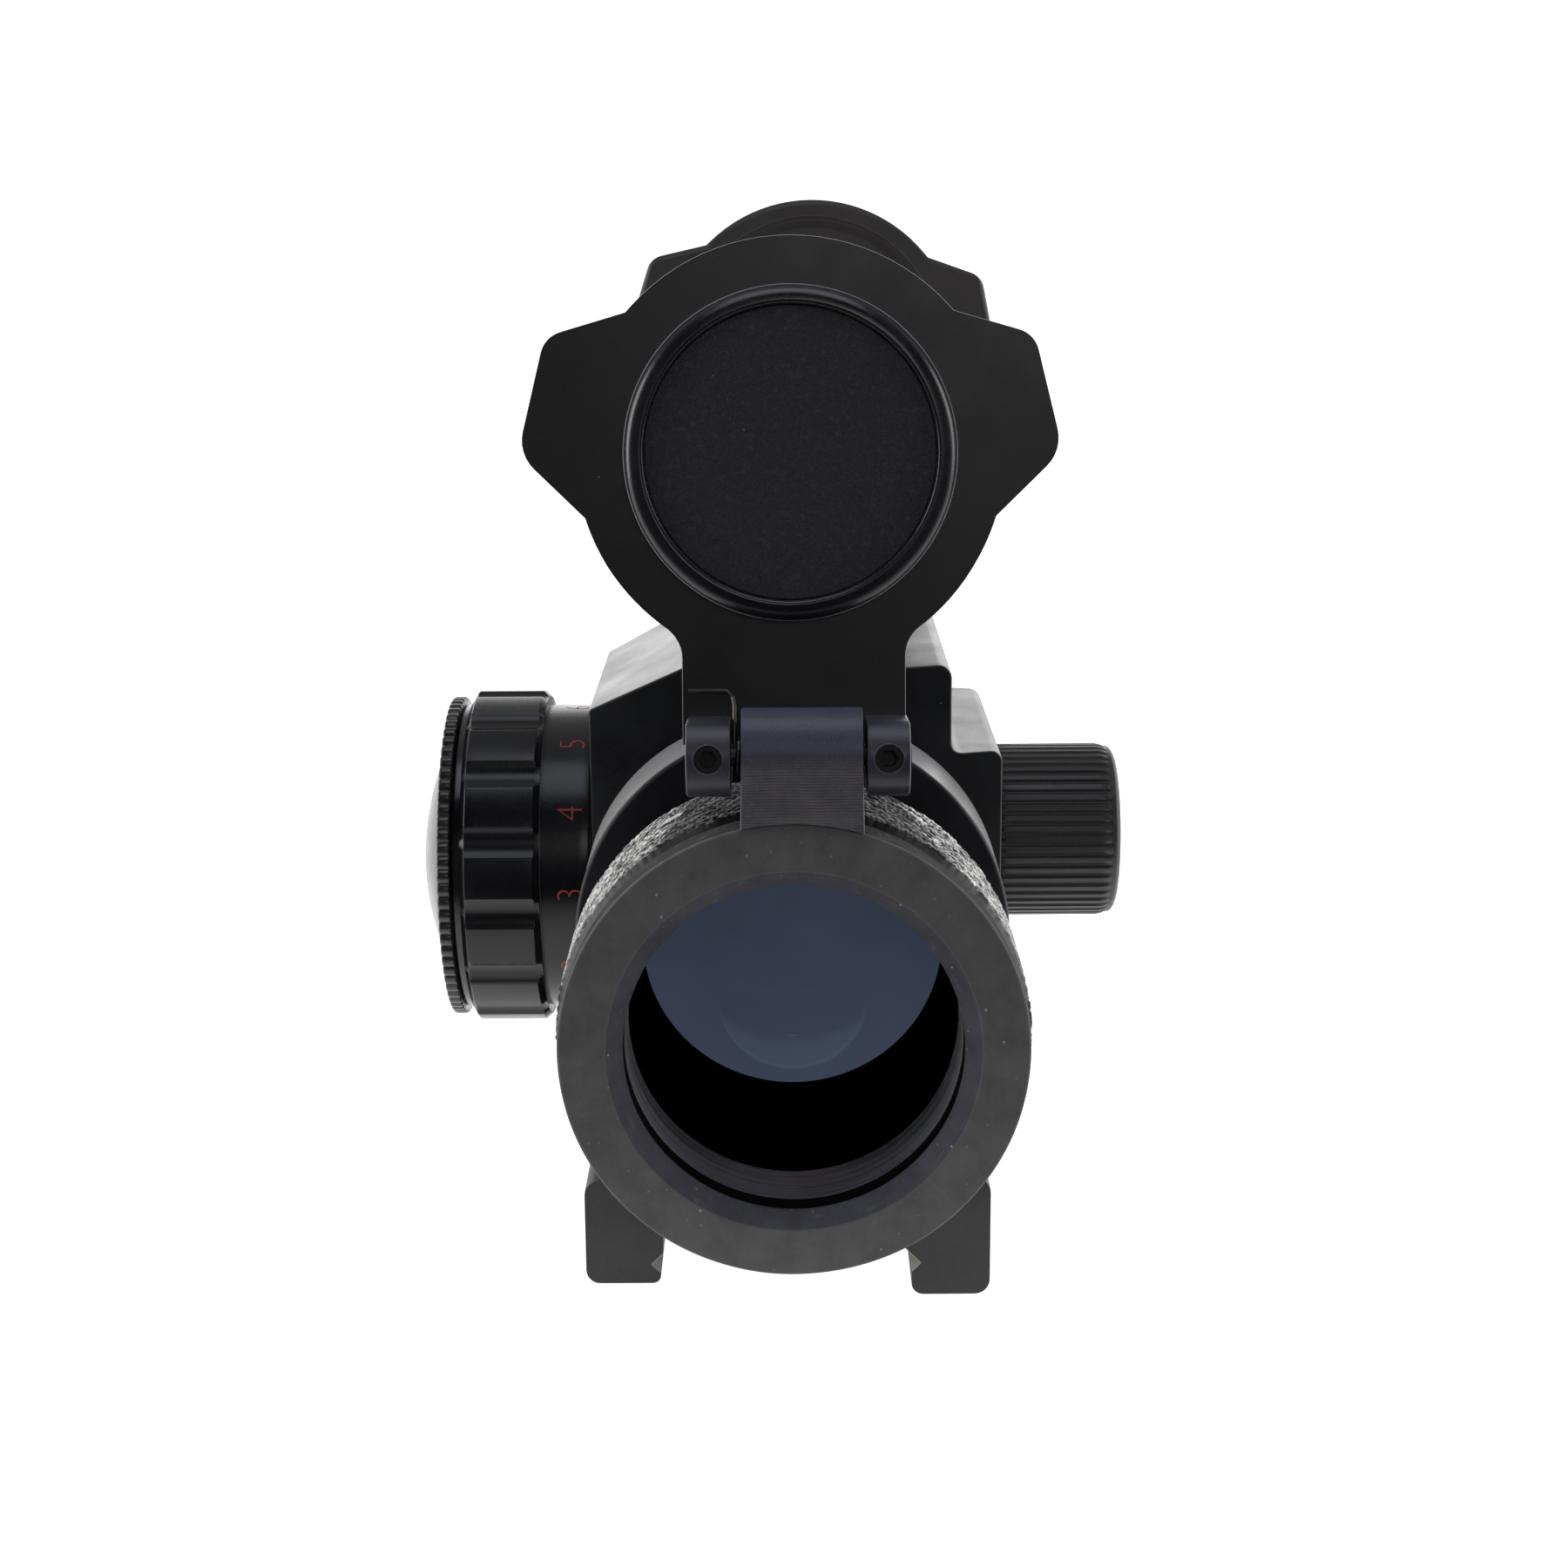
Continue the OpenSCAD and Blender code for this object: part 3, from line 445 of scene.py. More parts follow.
BLACK = anodised("anodised_black", (22, 22, 26), ior=1.4)
# the collar: black anodising with a painted sheen where seen edge on
COLLAR_PAINTED_SHEEN = anodised("anodised_collar_painted_sheen", (22, 22, 26), ior=1.4, painted_sheen=(150, 149, 149))
HOUSING = anodised("anodised_housing", (12, 13, 15), rough=0.27, ior=1.4)
# the dial's flute edges are lightened strongly: painted highlights
DIAL_BLACK = anodised("anodised_dial", (12, 12, 15), rough=0.22, grain=0.18, edge=0.7,
                      ior=1.4)
COVER_BLACK = anodised("anodised_cover", (27, 25, 28), rough=0.3, dust=0.08, ior=1.42)
# the covers' outer face: brown black anodising with a painted sheen on its rims
COVER_OUTER = anodised("anodised_cover_outer", (36, 32, 31), rough=0.42, grain=0.5,
                       painted_sheen=(120, 116, 114))
# the covers' bead: anodising with a painted sheen that lightens its edges
BEAD_PAINTED_SHEEN = anodised("anodised_bead_painted_sheen", (26, 25, 28), rough=0.22, painted_sheen=(165, 165, 172))
JAW = anodised("anodised_jaw", (44, 42, 42), rough=0.5, ior=1.36, grain=0.3)
RUBBED = anodised("rubbed_groove", (128, 124, 118), rough=0.5, grain=0.3)
GLOSS = anodised("turned_gloss", (16, 16, 18), rough=0.16, grain=0.12)
# near black: the black inside of the bore and of the parts within it, and painted shade in the
# rubber ring's groove
DEEP = anodised("black_bore_and_painted_shade", (3, 3, 3), rough=0.8, edge=0.0, dust=0.0, ior=1.15)
# the bore's turned band: fine lines, and a painted sheen that makes it light where seen edge on
BORE_LINES_AND_SHEEN = anodised("turned_bore", (66, 66, 70), rough=0.4, lines=lathe_lines(0.24, 1),
                      painted_sheen=(238, 238, 244))
# the covers' ears: a lighter, bluish copy of the cover's anodising, painted light, with fully
# lightened edges as painted highlights
EAR_PAINTED_LIGHT = anodised("anodised_ear_painted_light", (50, 49, 56), rough=0.34, grain=0.2, edge=1.0)
DARK_SCREW = anodised("blackened_screw", (8, 8, 9), rough=0.45, edge=0.05)
DARK_PIN = anodised("blackened_pin", (26, 26, 28), rough=0.4)


def milled():
    """Milled anodised aluminium: cutter lines below the pin; above it the colour is painted bluish,
    a painted reflection of the light overhead.
    """
    s = Shader("milled_knuckle", IOR=1.45)
    height = s.node("SeparateXYZ", {0: s.coord}).outputs["Z"]
    above_pin_painted_sheen = s.ramp(height, (PIN_Z - 0.6) * MM, (PIN_Z + 0.6) * MM)
    bend = s.math("MULTIPLY", s.noise(4, 2), 0.25 * MM)
    turns = s.math("MULTIPLY", s.math("ADD", height, bend), TAU / (0.215 * MM))
    wave = s.ramp(s.math("SINE", turns), -1, 1)
    depth = s.math("MULTIPLY", s.ramp(s.noise(1.2, 4, 0.6, (0.3, 1, 1)), 0.3, 0.6, 0.35, 1),
                   s.math("SUBTRACT", 1, above_pin_painted_sheen))
    fine = s.noise(0.16, 4)
    base = s.mix(s.ramp(s.noise(1.5, 4), 0.35, 0.7), rgb(108, 105, 107), rgb(124, 120, 122))
    # painted sheen: the colour turns bluish above the pin
    base = s.mix(s.math("MULTIPLY", above_pin_painted_sheen, 0.85), base, rgb(66, 66, 88))
    base = s.mix(s.math("MULTIPLY", s.math("MULTIPLY", wave, depth), 0.5), base, rgb(34, 32, 34))
    base = s.mix(s.math("MULTIPLY", s.ramp(fine, 0.58, 0.7), 0.3), base, rgb(140, 138, 150))
    base = s.mix(s.math("MULTIPLY", s.worn_edges(0.1), 0.35), base, rgb(150, 150, 155))
    normal = s.bump(s.math("MULTIPLY", wave, depth), 0.5, 0.03)
    return s.use(Base_Color=base, Roughness=s.ramp(fine, 0.3, 0.7, 0.36, 0.5),
                 Normal=s.bump(fine, 0.4, 0.012, normal))


KNUCKLE = milled()


def rubber(name, colour):
    """Matt moulded rubber with scuffs, faint scratches and white dust."""
    s = Shader(name, IOR=1.09)
    broad = s.noise(3.2, 5, 0.65)
    fine = s.noise(0.3, 3)
    scuff = s.noise(1.2, 5, 0.7, (1, 1, 0.35))
    scratch = s.noise(0.35, 3, 0.6, (0.12, 1, 1), s.around_tube())
    a = rgb(*colour)
    base = s.mix(s.ramp(broad, 0.36, 0.64), tuple(c * 0.86 for c in a[:3]) + (1,),
                 tuple(c * 1.12 for c in a[:3]) + (1,))
    base = s.mix(s.math("MULTIPLY", s.ramp(scuff, 0.56, 0.72), 0.4), base, rgb(120, 120, 118))
    base = s.mix(s.math("MULTIPLY", s.ramp(scratch, 0.62, 0.7), 0.3), base, rgb(130, 130, 128))
    base = s.mix(s.math("MULTIPLY", s.specks(0.7, 0.16, 0.14), 0.6), base, rgb(150, 150, 147))
    base = s.mix(s.math("MULTIPLY", s.specks(1.3, 0.1, 0.4), 0.85), base, rgb(190, 190, 186))
    base = s.mix(s.math("MULTIPLY", s.specks(4.5, 0.03, 0.7), 0.9), base, rgb(225, 225, 222))
    normal = s.bump(fine, 0.4, 0.03)
    normal = s.bump(scuff, 0.35, 0.05, normal)
    return s.use(Base_Color=base, Normal=normal, Roughness=s.ramp(broad, 0.3, 0.7, 0.5, 0.68))


RUBBER = rubber("ring_rubber", (114, 113, 113))
# darker copies of the ring rubber: painted shade on the ring's outer side and on its inner bevel
RUBBER_SIDE_PAINTED_SHADE = rubber("ring_rubber_side_painted_shade", (50, 49, 50))
RUBBER_BEVEL_PAINTED_SHADE = rubber("ring_rubber_bevel_painted_shade", (92, 92, 99))
SEAL = rubber("seal_rubber", (30, 30, 30))


def knurled():
    """Black anodising rubbed bright on the crests of the knurl; the rubbed metal is painted lighter
    where seen edge on, a painted highlight.
    """
    s = Shader("knurled_metal", IOR=1.5)
    crest = s.node("Attribute", attribute_name="wear").outputs["Fac"]
    patch = s.noise(2.5, 4)
    streak = s.noise(0.3, 4, 0.65, (0.22, 1, 1), s.around_tube())
    worn = s.math("MULTIPLY", s.ramp(crest, 0.35, 0.75), s.ramp(patch, 0.3, 0.6, 0.55, 1))
    worn = s.math("MULTIPLY", worn, s.ramp(streak, 0.4, 0.56, 0.2, 1))
    # painted sheen: the rubbed metal is lighter where the surface is seen edge on
    bright = s.mix(s.ramp(s.grazing(), 0.35, 0.7), rgb(92, 91, 90), rgb(226, 224, 221))
    base = s.mix(worn, rgb(16, 16, 18), bright)
    normal = s.bump(s.noise(0.15, 4), 0.5, 0.02)
    return s.use(Base_Color=base, Normal=normal, Metallic=s.math("MULTIPLY", worn, 0.6),
                 Roughness=s.ramp(worn, 0, 1, 0.45, 0.36))


KNURL = knurled()


def grainy_pad():
    """The covers' inlay: black sheet with a pebbled grain."""
    s = Shader("cover_pad", IOR=1.45, Roughness=0.62)
    cells = s.node("TexVoronoi", {"Vector": s.node(
        "Mapping", {0: s.coord, 3: [1 / (0.33 * MM)] * 3}).outputs[0]}).outputs["Distance"]
    base = s.mix(s.ramp(cells, 0.15, 0.6), rgb(58, 57, 64), rgb(22, 22, 26))
    base = s.mix(s.math("MULTIPLY", s.ramp(s.noise(0.5, 5, 0.7), 0.55, 0.7), 0.5), base,
                 rgb(74, 72, 78))
    base = s.mix(s.math("MULTIPLY", s.specks(2.2, 0.04, 0.35), 0.8), base, rgb(150, 150, 150))
    normal = s.bump(cells, 0.8, -0.08)
    normal = s.bump(s.noise(0.2, 4), 0.6, 0.04, normal)
    return s.use(Base_Color=base, Normal=normal)


PAD = grainy_pad()


def cap_plastic():
    """Brown black moulded plastic, painted near black between the ribs as shade."""
    s = Shader("cap_plastic", IOR=1.5)
    broad = s.noise(5, 3)
    base = s.mix(s.ramp(broad, 0.3, 0.7), rgb(36, 33, 33), rgb(47, 43, 42))
    crest = s.node("Attribute", attribute_name="wear").outputs["Fac"]
    # painted shade: near black where the attribute falls, in the valleys between the ribs
    base = s.mix(s.ramp(crest, 0.15, 0.7), rgb(9, 8, 8), base)
    base = s.mix(s.math("MULTIPLY", s.specks(2.4, 0.07, 0.3), 0.8), base, rgb(150, 145, 145))
    base = s.mix(s.math("MULTIPLY", s.worn_edges(0.1), 0.3), base, rgb(105, 100, 100))
    return s.use(Base_Color=base, Normal=s.bump(s.noise(0.15, 4), 0.4, 0.02),
                 Roughness=s.ramp(broad, 0.3, 0.7, 0.38, 0.5))


CAP = cap_plastic()


def turned(name, colour, rough=0.28, metallic=1.0):
    """Bare turned metal with fine lines and light stains."""
    s = Shader(name, Metallic=metallic)
    broad = s.noise(3, 4)
    a = rgb(*colour)
    base = s.mix(s.ramp(broad, 0.35, 0.7), a, tuple(c * 0.7 for c in a[:3]) + (1,))
    return s.use(Base_Color=base, Roughness=s.ramp(broad, 0.3, 0.7, rough, rough + 0.12),
                 Normal=s.bump(s.noise(0.12, 3), 0.3, 0.01))


STEEL = turned("turned_steel", (168, 168, 170))
SPRING = turned("spring_wire", (150, 150, 148), 0.35)
HINGE_WIRE = turned("hinge_spring_wire", (92, 88, 86), 0.4)
BRASS = turned("turned_brass", (190, 150, 80))
GOLD = turned("plated_contact", (215, 180, 105), 0.22)
CELL = turned("cell_steel", (205, 205, 205), 0.2)


def shiny_dome():
    """Polished black cap with fine turning lines."""
    s = Shader("battery_cap_metal", IOR=1.5)
    fine = s.noise(0.14, 4)
    broad = s.noise(5, 3)
    base = s.mix(s.ramp(broad, 0.3, 0.7), rgb(34, 33, 32), rgb(44, 43, 41))
    base = s.mix(s.math("MULTIPLY", s.specks(2.0, 0.05, 0.3), 0.7), base, rgb(140, 140, 138))
    return s.use(Base_Color=base, Normal=s.bump(fine, 0.3, 0.01),
                 Roughness=s.ramp(broad, 0.3, 0.7, 0.2, 0.3))


GLOSS_CAP = shiny_dome()


def plain(name, colour, rough):
    """Moulded or coated surface with a fine grain."""
    s = Shader(name)
    a = rgb(*colour)
    base = s.mix(s.ramp(s.noise(2, 4), 0.3, 0.7), a, tuple(c * 0.65 for c in a[:3]) + (1,))
    return s.use(Base_Color=base, Roughness=s.ramp(s.noise(1, 3), 0.3, 0.7, rough, rough + 0.1),
                 Normal=s.bump(s.noise(0.2, 3), 0.3, 0.02))


BOARD = plain("circuit_board", (22, 84, 48), 0.35)
LED = plain("led_plastic", (200, 40, 30), 0.2)
WIRE = plain("wire_plastic", (170, 30, 28), 0.35)
DIGIT = plain("digit_paint", (190, 60, 50), 0.5)
MOULDED = plain("dial_base_plastic", (40, 40, 41), 0.5)


def coated_glass(name, tint, painted_reflection_colour, painted_veil):
    """Coated glass: mostly clear, with a painted reflection, a coloured glow that only the camera
    sees.
    """
    s = Shader(name, IOR=1.5, Roughness=0.03)
    s.bsdf.inputs["Transmission Weight"].default_value = 1
    s.bsdf.inputs["Base Color"].default_value = tint
    out = s.nodes["Material Output"]
    facing = s.node("LayerWeight", {"Blend": 0.35}).outputs["Facing"]
    broad = s.noise(9, 2)
    height = s.node("SeparateXYZ", {0: s.coord}).outputs["Z"]
    # painted reflection: the glow is stronger low in the glass
    low = s.ramp(height, (AXIS_H + 9) * MM, (AXIS_H - 11) * MM, 0.75, 1.2)
    across = s.node("SeparateXYZ", {0: s.coord}).outputs["X"]
    seen_in = s.node("CombineXYZ", {0: across, 1: height}).outputs[0]

    def reach(z):
        return s.node("VectorMath", {0: seen_in, 1: (0, (AXIS_H + z) * MM, 0)},
                      operation="DISTANCE").outputs["Value"]

    # painted reflections low in the glass: a soft crescent inside a disc, and a thin line around it
    disc = reach(-4.8)
    inside = s.ramp(disc, 6.15 * MM, 5.9 * MM)
    painted_crescent = s.math("MULTIPLY", inside, s.ramp(reach(0.8), 9.0 * MM, 10.0 * MM))
    painted_band = s.math("MULTIPLY", s.ramp(disc, 6.3 * MM, 6.15 * MM),
                  s.ramp(disc, 5.9 * MM, 6.05 * MM))
    painted_line = s.math("MULTIPLY", painted_band, s.ramp(height, (AXIS_H - 5) * MM, (AXIS_H - 9) * MM))
    painted_reflections = s.math("ADD", s.math("MULTIPLY", painted_crescent, 0.26), s.math("MULTIPLY", painted_line, 0.4))
    strength = s.math("MULTIPLY", s.ramp(broad, 0.3, 0.7, 0.93, 1.07),
                      s.math("ADD", low, painted_reflections))
    glow = s.node("Emission", {"Color": painted_reflection_colour, "Strength": strength})
    seen = s.node("LightPath").outputs["Is Camera Ray"]
    share = s.math("MULTIPLY", seen, s.ramp(facing, 0, 1, painted_veil, 1))
    mixed = s.node("MixShader", {0: share, 1: s.bsdf.outputs[0], 2: glow.outputs[0]})
    s.links.new(mixed.outputs[0], out.inputs[0])
    return s.material


# both glasses carry a painted reflection, a glow that only the camera sees
WINDOW = coated_glass("window_glass", (0.55, 0.65, 0.9, 1), rgb(59, 67, 84), 0.75)
LENS = coated_glass("lens_glass", (0.9, 0.6, 0.55, 1), rgb(60, 30, 34), 0.35)


# ---------------------------------------------------------------- rubber rings and bezels
def build_ring(name, body, m, node):
    back = RING_LEN - 0.05
    tip = RING_LEN + TONGUE_LEN
    groove_r = CLEAR_R + 0.9
    outline = rounded([
        (CLEAR_R + 1.25, 0, 0.25), (RING_R, 0, 0.22), (RING_R, back, 0.3), (TONGUE[1], back),
        (TONGUE[1], tip), (TONGUE[0], tip), (TONGUE[0], back), (groove_r, back),
        (groove_r, 1.35), (CLEAR_R, 1.25, 0.05), (CLEAR_R, 1.0, 0.15)], 5)

    def uneven(t, r, z):
        p = Vector((3 * math.cos(t), 3 * math.sin(t), z * 0.4))
        return r + 0.035 * noise.noise(p + Vector((0, 0, 7)))

    bm = lathe(dense(outline, 0.8), 240, uneven)
    for f in bm.faces:
        c = f.calc_center_median()
        reach = math.hypot(c.x, c.y)
        # the groove: near black, painted shade
        if c.z > 1.24 and reach < CLEAR_R + 1:
            f.material_index = 1
        # the ring's outer side: a darker copy of the rubber, painted shade
        elif c.z > 0.2 and reach > RING_R - 0.25:
            f.material_index = 2
        # the inner bevel: a darker, bluer copy of the rubber, painted shade
        elif 0.1 < c.z < 1.2 and reach < CLEAR_R + 1.2:
            f.material_index = 3
    new_piece(name, bm, m, [RUBBER, DEEP, RUBBER_SIDE_PAINTED_SHADE, RUBBER_BEVEL_PAINTED_SHADE], body, [node])


KNURL_COUNT = 140
KNURL_DEPTH = 0.24


def knurl_height(t, z):
    """0 in the grooves and 1 on the crests of a worn diamond knurl, smeared around the tube."""
    across = Vector((math.cos(t), math.sin(t), 0))
    z += 0.35 * noise.noise(across * 5 + Vector((3, 0, z * 0.25)))
    turn = t * KNURL_COUNT / 2
    lift = z * math.pi / (TAU * BEZEL_R / KNURL_COUNT * 1.9)
    diamond = min(abs(math.sin(turn + lift)), abs(math.sin(turn - lift)))
    smear = noise.noise(across * 7 + Vector((0, 0, z * 3.4)))
    smear += 0.6 * noise.noise(across * 22 + Vector((9, 0, z * 6.0)))
    grit = noise.noise(across * 90 + Vector((0, 0, z * 4)))
    return min(1.0, max(0.0, 0.42 + 0.45 * diamond + 0.75 * smear + 0.25 * grit))


def build_bezel(prefix, m):
    z0 = RING_LEN + 0.8
    z1 = BEZEL_END - 0.55
    rows = 92
    crest = [(BEZEL_R, z0 + (z1 - z0) * i / rows) for i in range(rows + 1)]
    gap = 0.1
    low, high, deep = TONGUE[0] - gap, TONGUE[1] + gap, RING_LEN + TONGUE_LEN + gap
    outline = ([(CLEAR_R, RING_LEN), (low, RING_LEN), (low, deep), (high, deep),
                (high, RING_LEN), (BEZEL_R - 0.75, RING_LEN), (BEZEL_R - 0.2, z0 - 0.12)]
               + crest
               + [(BEZEL_R - 0.2, z1 + 0.12), (BEZEL_R - 0.55, BEZEL_END),
                  (BARREL_R + 0.02, BEZEL_END), (BARREL_R + 0.02, BORE_STEP),
                  (CLEAR_R, BORE_STEP)])

    def relief(t, r, z):
        if r < BEZEL_R - 1e-6:
            return r
        return r - KNURL_DEPTH * (1 - knurl_height(t, z))

    def wear(t, r, z):
        """The crests are rubbed bright; beside the knuckle they are kept dark, over a wider band
        towards the ring.
        """
        if r < BEZEL_R - 1e-6:
            return 0.0
        aside = abs(r * math.cos(t) - HINGE_X) - 7.0 + 0.9 * noise.noise(Vector((40 * t, 0, z)))
        reach = 0.8 + 3.2 * (z1 - z) / (z1 - z0)
        kept = 1.0 if math.sin(t) > 0 else min(1.0, max(0.0, aside / reach))
        return knurl_height(t, z) * (0.1 + 0.9 * kept * kept)

    bm = lathe(outline, 1120, relief, wear)
    for f in bm.faces:
        c = f.calc_center_median()
        f.material_index = 1 if math.hypot(c.x, c.y) < CLEAR_R + 0.9 else 0
    new_piece(prefix + "_bezel", bm, m @ REAR_END, [KNURL, BORE_LINES_AND_SHEEN], "sight",
              [prefix + "_bezel"], 50)

    top = [(x, y * KNUCKLE_TOP / EAR_R) for x, y in arc(0, 0, EAR_R, 0, 180, 18)]
    side = top + [(-EAR_R, -5.1), (0.5, -5.1), (0.5, -5.42), (6.0, -5.42), (6.0, -4.32),
                  (3.2, -1.6)]
    knuckle = prism(side, KNUCKLE_X[1] - KNUCKLE_X[0], 0.12, 2, 35)
    width = KNUCKLE_X[1] - KNUCKLE_X[0]
    for v in knuckle.verts:
        if v.co.y < 0:
            grow = 1 + 0.023 * min(1, -v.co.y / 4)
            v.co.z = (v.co.z - width / 2) * grow + width / 2
    at = AT_PIN @ placed((KNUCKLE_X[0], 0, 0), (1, 0, 0), (0, 1, 0))
    obj = temp(knuckle, at)
    drill(obj, (HINGE_X - 9, -PIN_Y, PIN_Z), (1, 0, 0), 0.74, 20)
    drill(obj, (HINGE_X + KNUCKLE_X[0] - 1, -PIN_Y, PIN_Z), (1, 0, 0), 1.9, 3.6)
    drill(obj, (0, -END_Y - 2, AXIS_H), (0, 1, 0), RING_R + 0.05, RING_LEN + 2.1, 256)
    new_piece(prefix + "_knuckle", to_bmesh(obj), m, KNUCKLE, "sight", [prefix + "_bezel"])


for prefix, m in (("rear", ONE), ("front", FRONT)):
    build_ring(prefix + "_rubber_ring", "sight", m @ REAR_END, prefix + "_rubber_ring")
    build_bezel(prefix, m)


# ---------------------------------------------------------------- covers
def cover_outline(grow=0.0):
    """The disc with its two finger wings and the neck, seen along Z, hinge towards -Y."""
    r = COVER_R + grow
    half = 19.35 + grow  # to the wing's tip
    neck = 7.99 + grow
    fillet_r = 2.6
    shift, shift_from, shift_over = 0.16, 8, 6  # the neck stands a little to the right
    up = math.degrees(math.acos(11.6 / COVER_R))  # where the wing's upper edge meets the disc
    down = -math.degrees(math.asin(4.5 / COVER_R))  # and its lower edge
    foot = -math.degrees(math.acos((neck + 0.9) / r))
    right = arc(0, 0, r, 90, up + 2, 12)
    right += rounded([(r * math.cos(math.radians(up)), r * math.sin(math.radians(up))),
                      (17.35 + grow, 8.3 + grow, 2.0), (half, 0.1, 2.8),
                      (r * math.cos(math.radians(down)), r * math.sin(math.radians(down)))],
                     6, False)
    right += arc(0, 0, r, down - 2, foot, 12)
    start = right[-1]
    right += rounded([start, (neck, -math.sqrt(r * r - neck * neck) - 0.3, fillet_r),
                      (neck, -PIN_RISE + 0.6)], 6, False)[1:]
    left = [(-x, y) for x, y in right[::-1]]
    return [(x + shift * min(1, max(0, -y - shift_from) / shift_over), y)
            for x, y in right + left[:-1]]


def build_cover(prefix, body, angle, m):
    opened = m @ AT_PIN @ Matrix.Rotation(-angle, 4, "X")
    # local Z runs into the tube when the cover is closed
    disc = placed((-HINGE_X, -COVER_FACE - COVER_T, -PIN_RISE), (0, 1, 0), (-1, 0, 0))
    outline = [(-x, -y) for x, y in cover_outline()]
    plate = prism(outline, COVER_T)
    for z, width, steps in ((0, 0.75, 5), (COVER_T, 0.12, 2)):
        rim = [e for e in plate.edges if all(abs(v.co.z - z) < 1e-4 for v in e.verts)]
        bmesh.ops.bevel(plate, geom=rim, offset=width, segments=steps, profile=0.5,
                        affect="EDGES", clamp_overlap=True)
    plate_obj = temp(plate, disc)
    dish = lathe(dense(rounded([(0, -1), (13.5, -1), (13.5, 0.2, 0.2), (13.0, 0.2, 0.2),
                                (12.4, 0.5, 0.4), (0, 0.5)], 5), 3), 160)
    boolean(plate_obj, temp(dish, disc), "DIFFERENCE")
    bead = rounded([(0, COVER_T - 0.3), (PLUG_R + 0.35, COVER_T - 0.3),
                    (PLUG_R + 0.35, COVER_T + 1.9, 1.2), (PAD_R, COVER_T + 1.9, 0.3),
                    (PAD_R, COVER_T + 0.7), (0, COVER_T + 0.7)], 8)
    boolean(plate_obj, temp(lathe(bead, 180), disc))
    for x0, x1 in EAR_X:
        shape = arc(0, 0, EAR_R, -62, 95, 16) + [
            (-3.2, 2.35), (-COVER_FACE - COVER_T + 0.25, 0.8),
            (-COVER_FACE - COVER_T + 0.25, -2.65)]
        ear = prism(shape, x1 - x0, 0.14, 2, 35)
        boolean(plate_obj, temp(ear, placed((x0, 0, 0), (1, 0, 0), (0, 1, 0))))
        drill(plate_obj, ((x0 + x1) / 2, 0.2, 0), (0, 1, 0), 1.02, 4, 32)
    drill(plate_obj, (-12, 0, 0), (1, 0, 0), 0.72, 24, 32)
    bm = to_bmesh(plate_obj)
    for f in bm.faces:
        c = f.calc_center_median()
        outer = c.y < -COVER_FACE - 0.5 * COVER_T
        ear = c.y > -COVER_FACE + 0.05 and abs(c.z) < 4
        bead = c.y > -COVER_FACE + 0.05
        # the bead's faces take the anodising with a painted sheen; the ears take the lighter copy
        # with painted highlights
        f.material_index = 2 if ear else 1 if outer else 3 if bead else 0
    new_piece(prefix + "_cover", bm, opened, [COVER_BLACK, COVER_OUTER, EAR_PAINTED_LIGHT, BEAD_PAINTED_SHEEN], body,
              [prefix + "_cover"])

    pad = lathe(dense(rounded([(0, 0), (PAD_R - 0.06, 0), (PAD_R - 0.06, 1.0, 0.12), (0, 1.0)],
                              3), 1.5), 120)
    for v in pad.verts:
        v.co.z += 0.02 * noise.noise(v.co * 0.35)
    lifted = opened @ disc @ Matrix.Translation((0, 0, COVER_T + 0.72))
    new_piece(prefix + "_cover_pad", pad, lifted, PAD, body, [prefix + "_cover_pad"])


build_cover("rear", "rear_flip", REAR_OPEN, ONE)
build_cover("front", "front_flip", FRONT_OPEN, FRONT)


